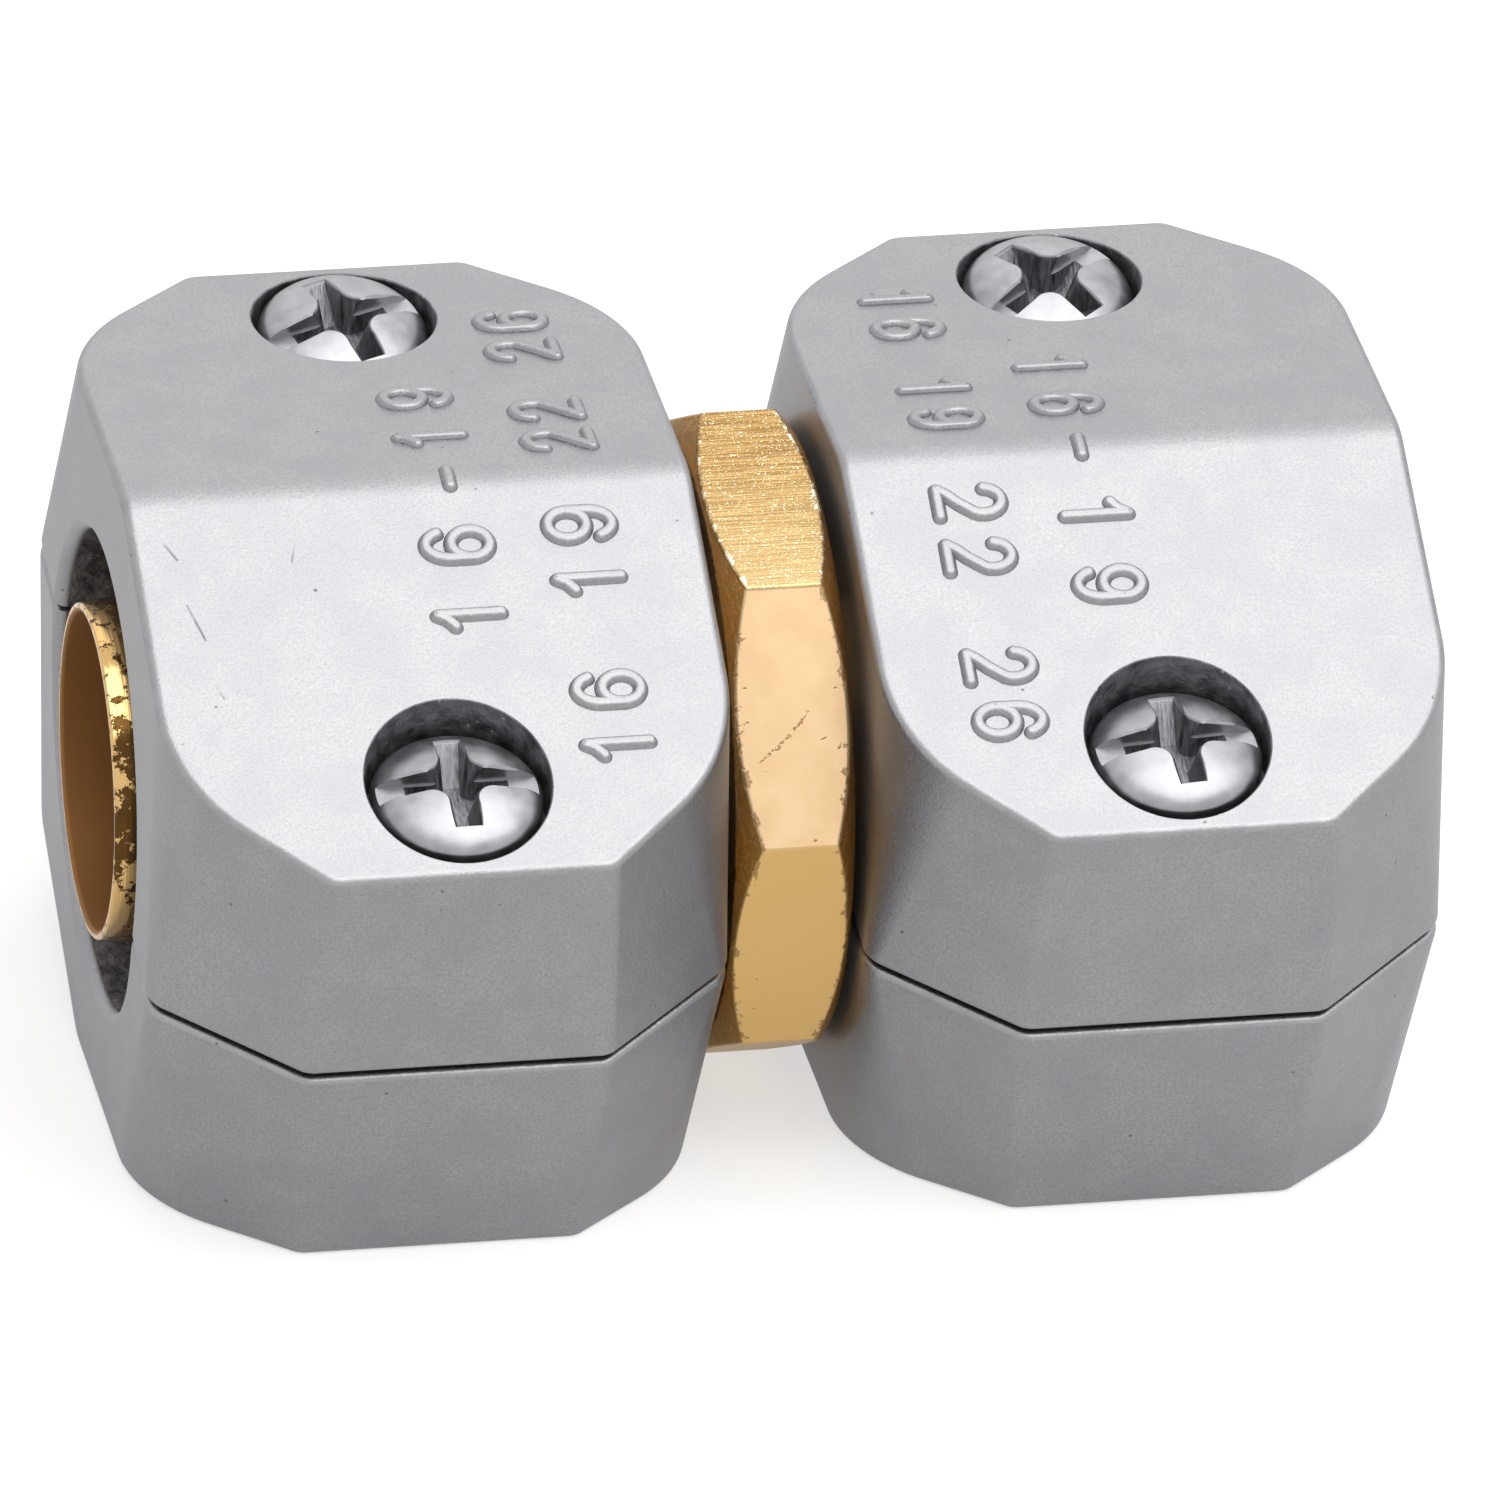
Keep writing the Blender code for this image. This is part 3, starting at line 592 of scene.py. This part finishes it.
def counterbore_tool(y):
    """The screw's hole through an upper shell. The counterbore's rim lies on the sloping roof, and its small
    round runs on past the roof at a slight angle."""
    turn = np.linspace(0, 2 * math.pi, 97)[:-1]
    rim_y = y + COUNTERBORE_RADIUS * np.sin(turn)
    height, slope = roof(rim_y)
    rim = np.column_stack((CLAMP_CENTRE_X + COUNTERBORE_RADIUS * np.cos(turn), rim_y, height))
    down = np.tile((0.0, 0.0, -1.0), (len(turn), 1))
    outward = unit(np.column_stack((np.cos(turn), np.sin(turn), slope * np.sin(turn))))
    lip = rounded_edge(rim, down, outward, COUNTERBORE_ROUND, 7)[:-1]
    past = lip[-1:] + (lip[-1:] - lip[-2:-1]) * 4
    above = past * (1, 1, 0) + (0, 0, RIDGE_HEIGHT + CLEAR)
    below = drilled([(0, -CLEAR), (SHANK_HOLE_RADIUS, -CLEAR), (SHANK_HOLE_RADIUS, COUNTERBORE_FLOOR_Z),
                     (COUNTERBORE_RADIUS, COUNTERBORE_FLOOR_Z)], y, turn)
    rows = np.concatenate((below, lip, past, above, drilled([(0, RIDGE_HEIGHT + CLEAR)], y, turn)))
    return surface("counterbore", rows, quads(len(rows), len(turn)), 1)


def tapped_hole_tool(y):
    """The blind hole in a lower shell, with a countersink and the drill's point."""
    turn = np.linspace(0, 2 * math.pi, 65)[:-1]
    point = TAPPED_HOLE_DEPTH + TAPPED_HOLE_RADIUS / math.tan(math.radians(59))
    wide = TAPPED_HOLE_RADIUS + 0.35
    rows = drilled([(0, CLEAR), (wide, CLEAR), (wide, -PARTING_Z), (TAPPED_HOLE_RADIUS, -PARTING_Z - 0.35),
                    (TAPPED_HOLE_RADIUS, -TAPPED_HOLE_DEPTH), (0, -point)], y, turn)
    return surface("tapped_hole", rows, quads(len(rows), len(turn)), 1)


def carved(mesh, *tools):
    """A solid with the tools' volumes taken out of it. The cut faces keep the tools' material number."""
    cuts = [("BOOLEAN", {"operation": "DIFFERENCE", "solver": "EXACT", "object": tool}) for tool in tools]
    return worked(mesh, *cuts)


# The sizes of the metal's patterns, in millimetres. The grain is drawn coarser than the real one, to show.
GRAIN, HAZE, WEAR, PIT_SPACING, SCRATCH = 0.12, 3, 1.4, 0.9, 0.06
CAST_SKIN, CAST_GRAIN = 0.8, 0.35


def zinc_finish():
    """Die-cast zinc alloy, tumbled in a barrel: a satin grey with an even grain from the blasted die, faint
    clouds, small pits that crowd along the edges, and edges drawn a little brighter, partly rubbed by the
    tumbling and partly a painted highlight."""
    made, tree, position = material("tumbled_zinc_casting")
    edge = node(tree, "Attribute", out="Fac", attribute_name="edge")
    grain, cloud, wear = (
        node(tree, "TexNoise", {"Vector": position, "Scale": 1 / (size * MM), "Detail": detail})
        for size, detail in ((GRAIN, 2), (HAZE, 5), (WEAR, 4)))
    cells = node(tree, "TexVoronoi", {"Vector": position, "Scale": 1 / (PIT_SPACING * MM)}).node.outputs
    chance = node(tree, "SeparateColor", {0: cells["Color"]})
    rarity = node(tree, "MapRange", {"Value": edge, "From Max": 0.4, "To Min": 0.96, "To Max": 0.78})
    dent = node(tree, "MapRange", {"Value": cells["Distance"], "From Min": 0.12, "From Max": 0.04}, **SMOOTH)
    chosen = node(tree, "Math", {0: chance, 1: rarity}, operation="GREATER_THAN")
    pit = node(tree, "Math", {0: dent, 1: chosen}, operation="MULTIPLY")
    line = scratches(tree, position, SCRATCHED_SLOPE, SCRATCH * MM)
    broken = node(tree, "MapRange", {"Value": wear, "From Min": 0.35, "From Max": 0.6,
                                     "To Min": 0.1, "To Max": 0.8})
    line = node(tree, "Math", {0: line, 1: broken}, operation="MULTIPLY")
    flaw = node(tree, "Math", {0: pit, 1: line}, operation="MAXIMUM")
    # The edges are drawn a little brighter in broken patches: partly rubbed by the tumbling, partly a painted
    # highlight.
    on_edge = node(tree, "MapRange", {"Value": edge, "From Min": 0.1, "From Max": 0.9}, **SMOOTH)
    worn = node(tree, "MapRange", {"Value": wear, "From Min": 0.4, "From Max": 0.65, "To Min": 0.3}, **SMOOTH)
    bright = node(tree, "Math", {0: on_edge, 1: worn}, operation="MULTIPLY")
    fine = node(tree, "MapRange", {"Value": grain, **WHOLE})
    haze = node(tree, "MapRange", {"Value": cloud, **MIDDLE, "To Max": 0.35}, **SMOOTH)

    tone = linear("#939397")
    for share, over in ((fine, "#A7A7AA"), (haze, "#929297"), (bright, "#A6A6A9"), (flaw, "#707074")):
        tone = node(tree, "Mix", {0: share, 6: tone, 7: linear(over)}, **COLOUR)
    rough = node(tree, "MapRange", {"Value": grain, **WHOLE, "To Min": 0.4, "To Max": 0.47})
    rough = node(tree, "Math", {0: bright, 1: -0.03, 2: rough}, operation="MULTIPLY_ADD")
    relief = node(tree, "Math", {0: flaw, 1: -1.8, 2: grain}, operation="MULTIPLY_ADD")
    return metal(made, tone, rough, relief, 0.5, 0.03)


def cast_skin_and_shade_finish():
    """The same alloy as cast, inside the bores and holes: coarse and dull, with bright grains where the skin
    has broken. Its dark tone is partly the skin of oxide and die lubricant and partly painted shade for the
    deep holes."""
    made, tree, position = material("as_cast_zinc_and_painted_shade")
    skin = node(tree, "TexNoise", {"Vector": position, "Scale": 1 / (CAST_SKIN * MM), "Detail": 6})
    cells = node(tree, "TexVoronoi", {"Vector": position, "Scale": 1 / (CAST_GRAIN * MM)}).node.outputs
    chance = node(tree, "SeparateColor", {0: cells["Color"]})
    chosen = node(tree, "Math", {0: chance, 1: 0.88}, operation="GREATER_THAN")
    grain = node(tree, "MapRange", {"Value": cells["Distance"], "From Min": 0.3, "From Max": 0.1})
    fleck = node(tree, "Math", {0: grain, 1: chosen}, operation="MULTIPLY")
    patch = node(tree, "MapRange", {"Value": skin, **MIDDLE})
    # Dark tone: partly the casting skin, partly painted shade inside the bores and holes.
    tone = node(tree, "Mix", {0: patch, 6: linear("#66666A"), 7: linear("#8A8A8E")}, **COLOUR)
    tone = node(tree, "Mix", {0: fleck, 6: tone, 7: linear("#B4B4B8")}, **COLOUR)
    rough = node(tree, "MapRange", {"Value": skin, **WHOLE, "To Min": 0.45, "To Max": 0.65})
    return metal(made, tone, rough, skin, 0.8, 0.2)


# Hairline scratches on the left clamp's front slope, by their ends' x and y in millimetres.
SCRATCHED_SLOPE = [[RIGHT @ Vector((x, y, RIDGE_HEIGHT + y * math.tan(ROOF_PITCH))) for x, y in ends]
                   for ends in (((-28.3, -2.4), (-27.7, -3.5)), ((-27.6, -5.9), (-27.0, -7.8)),
                                ((-26.9, -10.2), (-26.6, -10.9)), ((-22.2, -2.9), (-22.5, -4.0)))]
TUMBLED_ZINC = zinc_finish()
CAST_ZINC_AND_SHADE = cast_skin_and_shade_finish()
blank = shell_blank()
cavity = cavity_tool()
turned_over = blank.copy()
turned_over.transform(Matrix.Rotation(math.pi, 4, "X"))
upper_shell = shaded(carved(blank, cavity, counterbore_tool(-SCREW_Y), counterbore_tool(SCREW_Y)))
lower_shell = shaded(carved(turned_over, cavity, tapped_hole_tool(-SCREW_Y), tapped_hole_tool(SCREW_Y)))
for side, place in (("right", RIGHT), ("left", LEFT)):
    for half, mesh in (("upper", upper_shell), ("lower", lower_shell)):
        shell = f"{side}_{half}_shell"
        add_piece(f"{shell}_cast", mesh, place, shell, (TUMBLED_ZINC, CAST_ZINC_AND_SHADE), shell)

# Raised numerals
#
# Two rows of plain figures stand on each upper shell, cut into the die, so that they are cast with the shell as
# soft beads. They give hose bores in millimetres, across the shell's length.

BEAD_HALF_WIDTH = 0.37
BEAD_HEIGHT = 0.27
BEAD_SINK = 0.12
FIGURE_WIDTH, FIGURE_HEIGHT = 1.45, 2.95
SIZE_ROW_X, BORE_ROW_X = 14.8, 9.05


def ellipse(x, y, width, height, start, end, steps=20):
    """Points on an ellipse between two angles in degrees."""
    turn = np.radians(np.linspace(start, end, steps))
    return np.stack((x + width * np.cos(turn), y + height * np.sin(turn)), -1)


six = np.concatenate((ellipse(0.5, 0.62, 0.5, 0.38, 28, 180), ellipse(0.5, 0.3, 0.5, 0.3, 180, 540, 32)))
FIGURES = {
    "1": [np.array(((0.12, 0.74), (0.4, 0.86), (0.55, 1.0))),
          np.array(((0.55, 1.0), (0.55, 0.5), (0.55, 0.0)))],
    "2": [np.concatenate((ellipse(0.5, 0.7, 0.47, 0.3, 172, -28),
                          ((0.55, 0.32), (0.2, 0.14), (0.02, 0.0)))),
          np.array(((0.02, 0.0), (0.5, 0.0), (1.0, 0.0)))],
    "6": [six],
    "9": [1 - six],
    "-": [np.array(((0.1, 0.45), (0.5, 0.45), (0.9, 0.45)))],
}


def bead(path):
    """Half of the bead's profile, carried up one side of a stroke's path, round its end and back, in plan. The
    height falls off from the flat crest as one less the distance's fourth power, to the power of 1.5."""
    run = unit(np.gradient(path, axis=0))
    side = np.stack((-run[:, 1], run[:, 0]), -1)
    turn = np.radians(np.linspace(0, 180, 9))[1:-1, None]
    end_cap = np.cos(turn) * side[-1] + np.sin(turn) * run[-1]
    start_cap = -np.cos(turn) * side[0] - np.sin(turn) * run[0]
    centre = np.concatenate((path, np.tile(path[-1], (7, 1)), path[::-1], np.tile(path[0], (7, 1))))
    away = np.concatenate((side, end_cap, -side[::-1], start_cap))
    share = np.linspace(0, 1, 8)
    out = np.concatenate((share, (1.0, 0.0)))[:, None]
    rise = BEAD_HEIGHT * (1 - share ** 4) ** 1.5 - 0.01 * share
    rise = np.concatenate((rise, (-BEAD_SINK, -BEAD_SINK)))[:, None]
    plan = centre + away * (out * BEAD_HALF_WIDTH)[..., None]
    return np.concatenate((plan, np.broadcast_to(rise[..., None], (*plan.shape[:2], 1))), -1)


def figure_row(name, text, x, first_y, last_y):
    """A row of figures whose tops point along +X and which reads along -Y, laid on the roof's height."""
    advance = (first_y - last_y - FIGURE_WIDTH) / (len(text) - 1)
    points, faces, start = [], [], 0
    for place, figure in enumerate(text):
        for stroke in FIGURES.get(figure, ()):
            size = np.array((FIGURE_WIDTH, FIGURE_HEIGHT))
            rows = bead(stroke * size + (place * advance, -FIGURE_HEIGHT / 2))
            y = first_y - rows[..., 0]
            points.append(np.stack((x + rows[..., 1], y, roof(y)[0] + rows[..., 2]), -1).reshape(-1, 3))
            faces.append(quads(*rows.shape[:2]) + start)
            start += len(points[-1])
    return surface(name, np.concatenate(points), np.concatenate(faces))


for name, text, x, first_y, last_y in (("size_figures", "16-19", SIZE_ROW_X, 8.1, -8.4),
                                       ("bore_figures", "16 19 22 26", BORE_ROW_X, 15.3, -15.3)):
    numerals = shaded(figure_row(name, text, x, first_y, last_y), 60)
    for side, place in (("right", RIGHT), ("left", LEFT)):
        add_piece(f"{side}_{name}", numerals, place, f"{side}_upper_shell", (TUMBLED_ZINC, TUMBLED_ZINC))

# Clamp screws
#
# M4 pan heads of zinc-plated steel, with a cross and a slot in one recess. The heads are cold-formed and the
# threads rolled, and each slot stands as it was left when its screw was driven home.

HEAD_RADIUS = 3.95
HEAD_RIM_HEIGHT = 1.2
HEAD_DOME_HEIGHT = 1.5
HEAD_SEAT_HEIGHT = 10.4
HEAD_SEAT_ROUND = 0.15
SCREW_LENGTH = 16.0
SHANK_RADIUS, TIP_RADIUS = 1.9, 1.3
THREAD_TOP_RADIUS, THREAD_ROOT_RADIUS, THREAD_SWELL = 1.98, 1.58, 0.15
THREAD_PITCH, THREAD_START, THREAD_END = 0.7, 0.6, 0.3
SLOT_WIDTH, SLOT_DEPTH = 1.2, 1.0
CROSS_REACH, CROSS_HALF_WIDTH, CROSS_ROUND = (1.3, 3.5), (0.4, 0.6), (0.4, 1.0)
CROSS_DEPTH, CROSS_EDGE_BREAK = 2.0, 0.12
SLOT_TURN = {"left_front": 1, "left_back": 19.5, "right_front": 4.5, "right_back": 37}


def screw_mesh():
    """The screw about its axis, with the head's underside at height 0: a quarter-ellipse dome and a rim, then a
    rolled thread, whose radius follows a rounded sawtooth of height plus turn, and fades out at both ends."""
    turn = np.linspace(0, 2 * math.pi, 73)[:-1]
    bend = np.radians(np.linspace(0, 86, 16))
    dome_radius = HEAD_RADIUS * np.sin(bend)
    dome_height = HEAD_RIM_HEIGHT + HEAD_DOME_HEIGHT * np.cos(bend)
    rim = ((HEAD_RADIUS, HEAD_RIM_HEIGHT - 0.1), (HEAD_RADIUS, HEAD_SEAT_ROUND),
           (HEAD_RADIUS - HEAD_SEAT_ROUND, 0), (SHANK_RADIUS + 0.2, 0), (SHANK_RADIUS, -0.25))
    head_radius, head_height = np.concatenate((np.column_stack((dome_radius, dome_height)), rim)).T[..., None]
    height = np.arange(-0.4, -SCREW_LENGTH + 0.2, -THREAD_PITCH / 8)[:, None]
    wave = 1 - np.abs(((height / THREAD_PITCH + turn / (2 * math.pi)) % 1) * 2 - 1)
    crest = np.clip(wave * 1.5 - 0.2, 0, 1)
    begun = np.clip((-THREAD_START - height) / THREAD_PITCH, 0, 1)
    left = np.clip((height + SCREW_LENGTH - THREAD_END) / THREAD_PITCH, 0, 1)
    core = THREAD_ROOT_RADIUS + THREAD_SWELL * (1 - begun)
    thread = core + (THREAD_TOP_RADIUS - THREAD_ROOT_RADIUS) * crest * begun * left
    tip = np.array(((TIP_RADIUS,), (0,)))
    radius = np.concatenate((head_radius + 0 * turn, thread, tip + 0 * turn))
    heights = np.concatenate((head_height, height, np.full((2, 1), -SCREW_LENGTH))) + 0 * turn
    points = np.stack((radius * np.cos(turn), radius * np.sin(turn), heights), -1)
    return surface("screw", points, quads(len(radius), len(turn)))


def slot_punch():
    """A bar that reaches across the head, and from the slot's floor to above the dome."""
    half = np.array(((1, 1), (-1, 1), (-1, -1), (1, -1))) * (HEAD_RADIUS + CLEAR, SLOT_WIDTH / 2)
    dome_top = HEAD_RIM_HEIGHT + HEAD_DOME_HEIGHT
    rows = [np.column_stack((half * scale, np.full(4, height)))
            for height, scale in ((dome_top - SLOT_DEPTH, 0), (dome_top - SLOT_DEPTH, 1),
                                  (dome_top + CLEAR, 1), (dome_top + CLEAR, 0))]
    return surface("slot_punch", np.array(rows), quads(4, 4))


def cross_punch():
    """A cross that widens evenly from its foot to the dome's top. Its outline in each quarter goes along a
    wing's side, round the petal's corner by a quarter of a circle, and out along the next wing. The punch
    breaks the petals' edges: the walls turn out by 45 degrees where they come near the dome, whose height is
    found by putting each wall's place at that height into the ellipse's formula over and over."""
    t = np.radians(np.linspace(0, 90, 9))
    outlines = []
    for reach, half, round_radius in zip(CROSS_REACH, CROSS_HALF_WIDTH, CROSS_ROUND):
        middle = half + round_radius
        corner = np.column_stack((middle - round_radius * np.sin(t), middle - round_radius * np.cos(t)))
        quarter = np.concatenate((((reach, half),), corner, ((half, reach),)))
        turns = [quarter @ np.array(((c, s), (-s, c))) for c, s in ((1, 0), (0, 1), (-1, 0), (0, -1))]
        outlines.append(np.concatenate(turns))
    foot, head = outlines
    bottom = HEAD_RIM_HEIGHT + HEAD_DOME_HEIGHT - CROSS_DEPTH
    dome = np.full(len(foot), bottom + CROSS_DEPTH)
    for _ in range(12):
        plan = foot + (head - foot) * ((dome - bottom) / CROSS_DEPTH)[:, None]
        off_axis = np.linalg.norm(plan, axis=1) / HEAD_RADIUS
        dome = HEAD_RIM_HEIGHT + HEAD_DOME_HEIGHT * np.sqrt(1 - off_axis ** 2)
    near = foot + (head - foot) * ((dome - CROSS_EDGE_BREAK - bottom) / CROSS_DEPTH)[:, None]
    run = np.roll(near, -1, 0) - np.roll(near, 1, 0)
    wide = near + unit(np.column_stack((run[:, 1], -run[:, 0]))) * CROSS_EDGE_BREAK * 1.5
    floor, above = np.full(len(foot), bottom), np.full(len(foot), bottom + CROSS_DEPTH + CLEAR)
    rows = [np.column_stack(row) for row in (
        (0 * foot, floor), (foot, floor), (near, dome - CROSS_EDGE_BREAK), (wide, dome + CROSS_EDGE_BREAK / 2),
        (wide, above), (0 * foot, above))]
    punched = np.repeat((1, 1, 0, 0, 0), len(foot))
    return surface("cross_punch", np.array(rows), quads(len(rows), len(foot)), punched)


# The sizes of the plate's patterns, in millimetres: clouds, drag marks, and streaks from the punch.
PLATE_CLOUD, DRAG_MARK, STREAK = 0.9, (1.2, 0.08, 0.4), (0.12, 0.5, 0.9)


def plated_finish():
    """Bright zinc plate on cold-formed steel. It mirrors softly, a little cloudy, with fine drag marks."""
    made, tree, position = material("bright_zinc_plate")
    cloud = node(tree, "TexNoise", {"Vector": position, "Scale": 1 / (PLATE_CLOUD * MM), "Detail": 3})
    drag = node(tree, "Mapping", {"Vector": position, "Rotation": (0.4, 0.2, 0.9),
                                  "Scale": repeats(*DRAG_MARK)})
    marks = node(tree, "TexNoise", {"Vector": drag, "Scale": 1, "Detail": 2})
    patch = node(tree, "MapRange", {"Value": cloud, **WHOLE})
    tone = node(tree, "Mix", {0: patch, 6: linear("#98989C"), 7: linear("#ACACB0")}, **COLOUR)
    rough = node(tree, "MapRange", {"Value": cloud, **WHOLE, "To Min": 0.32, "To Max": 0.44})
    relief = node(tree, "Math", {0: marks, 1: 0.25, 2: cloud}, operation="MULTIPLY_ADD")
    return metal(made, tone, rough, relief, 0.4, 0.03)


def punched_finish():
    """The recess, which the heading punch leaves duller and where the plate runs thin and grey."""
    made, tree, position = material("dull_plate_in_recess")
    wipe = node(tree, "Mapping", {"Vector": position, "Scale": repeats(*STREAK)})
    streak = node(tree, "TexNoise", {"Vector": wipe, "Scale": 1, "Detail": 4})
    patch = node(tree, "MapRange", {"Value": streak, **MIDDLE})
    tone = node(tree, "Mix", {0: patch, 6: linear("#707074"), 7: linear("#98989C")}, **COLOUR)
    rough = node(tree, "MapRange", {"Value": streak, **WHOLE, "To Min": 0.3, "To Max": 0.5})
    return metal(made, tone, rough, streak, 0.6, 0.05)


PLATED = plated_finish()
PUNCHED = punched_finish()
screw = shaded(carved(screw_mesh(), slot_punch(), cross_punch()), 38)
for name, degrees in SLOT_TURN.items():
    side, end = name.split("_")
    y = -SCREW_Y if (end == "front") == (side == "right") else SCREW_Y
    seat = Matrix.Translation((CLAMP_CENTRE_X, y, HEAD_SEAT_HEIGHT))
    place = (RIGHT if side == "right" else LEFT) @ seat @ Matrix.Rotation(math.radians(degrees), 4, "Z")
    add_piece(f"{name}_pan_head", screw, place, f"{name}_screw", (PLATED, PUNCHED),
              f"{name}_screw")

# Table, light and camera
#
# A white paper sweep under a large soft box, with a weaker one behind, as for a catalogue picture.

PAPER_REACH = 1.5
PAPER_FIBRE = 0.6
# The paper's glow for a mirror, and for the camera near the mender and far off it. NEAR and FAR are in metres.
MIRROR_LIFT, NEAR_LIFT, FAR_LIFT = 0.36, 0.6, 0.85
NEAR, FAR = 0.08, 0.6
LAMP_COLOUR = (1.0, 0.985, 0.96)
ROOM_LIGHT, ROOM_SEEN = 0.35, 1.0


def paper_finish():
    """Uncoated white paper: matt, and lifted to white where the camera or a mirror sees it, and more so further
    off, so that it keeps only the mender's shadow."""
    made, tree, position = material("white_paper")
    fibre = node(tree, "TexNoise", {"Vector": position, "Scale": 1 / (PAPER_FIBRE * MM), "Detail": 3})
    tone = node(tree, "Mix", {0: fibre, 6: linear("#CCCCCC"), 7: linear("#D2D2D2")}, **COLOUR)
    ray = node(tree, "LightPath").node.outputs
    mirrored = node(tree, "Math", {0: ray["Is Glossy Ray"], 1: ray["Is Transmission Ray"]}, operation="MAXIMUM")
    lift = node(tree, "Math", {0: mirrored, 1: MIRROR_LIFT}, operation="MULTIPLY")
    off = node(tree, "VectorMath", {0: position}, "Value", operation="LENGTH")
    white = node(tree, "MapRange", {"Value": off, "From Min": NEAR, "From Max": FAR,
                                    "To Min": NEAR_LIFT, "To Max": FAR_LIFT})
    lift = node(tree, "Math", {0: ray["Is Camera Ray"], 1: white, 2: lift}, operation="MULTIPLY_ADD")
    feed(tree.nodes["Principled BSDF"], {"Base Color": tone, "Roughness": 0.9,
                                         "Emission Color": linear("#FFFFFF"), "Emission Strength": lift})
    return made


paper = bpy.data.meshes.new("paper_sweep")
corners = [(x * PAPER_REACH, y * PAPER_REACH, cad_box[0].z) for x, y in ((-1, -1), (1, -1), (1, 1), (-1, 1))]
paper.from_pydata(corners, [], [(0, 1, 2, 3)])
paper.materials.append(paper_finish())
floor = bpy.data.objects.new("paper_sweep", paper)
scene.collection.objects.link(floor)


def soft_box(name, size, place, radiance):
    """A square lamp that faces the mender, a little warm. A white card lit by it alone, if it filled the card's
    sky, would show its radiance as its colour."""
    light = bpy.data.lights.new(name, "AREA")
    light.shape = "SQUARE"
    light.size = size
    light.energy = radiance * math.pi * size ** 2
    light.color = LAMP_COLOUR
    lamp = bpy.data.objects.new(name, light)
    lamp.location = place
    lamp.rotation_euler = (-Vector(place)).to_track_quat("-Z", "Y").to_euler()
    scene.collection.objects.link(lamp)


soft_box("overhead_box", 0.5, (0.08, -0.1, 0.39), 2.2)
soft_box("back_box", 0.4, (0.05, 0.42, 0.34), 0.5)

world = bpy.data.worlds.new("white_room")
scene.world = world
world.use_nodes = True
room = world.node_tree
ray = node(room, "LightPath").node.outputs
seen = node(room, "Math", {0: ray["Is Camera Ray"], 1: ray["Is Glossy Ray"]}, operation="MAXIMUM")
seen = node(room, "Math", {0: seen, 1: ray["Is Transmission Ray"]}, operation="MAXIMUM")
strength = node(room, "MapRange", {"Value": seen, "To Min": ROOM_LIGHT, "To Max": ROOM_SEEN})
feed(room.nodes["Background"], {"Color": linear("#FFFFFF"), "Strength": strength})
scene.view_settings.view_transform = "Standard"

# The lens was worked out with the mender's size from points picked on the photo: its direction and roll in the
# clamps' frame, its distance and the point it aims at.
AZIMUTH, ELEVATION, ROLL = 0.2486, 0.7313, 0.1081
LENS, SENSOR = 575.4, 36.0
DISTANCE = 1104.73
AIM = np.array((0.6164, -0.6592, -0.5431))
ahead = np.array((math.sin(AZIMUTH) * math.cos(ELEVATION), math.cos(AZIMUTH) * math.cos(ELEVATION),
                  -math.sin(ELEVATION)))
level = np.array((math.cos(AZIMUTH), -math.sin(AZIMUTH), 0))
upright = np.cross(level, ahead)
right = math.cos(ROLL) * level + math.sin(ROLL) * upright
up = math.cos(ROLL) * upright - math.sin(ROLL) * level
eye = (AIM - ahead * DISTANCE) * MM
lens = bpy.data.cameras.new("picture_camera")
lens.lens, lens.sensor_width, lens.sensor_fit, lens.clip_end = LENS, SENSOR, "HORIZONTAL", 10
camera = bpy.data.objects.new("picture_camera", lens)
facing = Matrix(np.column_stack((right, up, -ahead)).tolist()).to_4x4()
camera.matrix_world = Matrix.Rotation(ROOF_PITCH, 4, "X") @ Matrix.Translation(eye.tolist()) @ facing
scene.collection.objects.link(camera)
scene.camera = camera
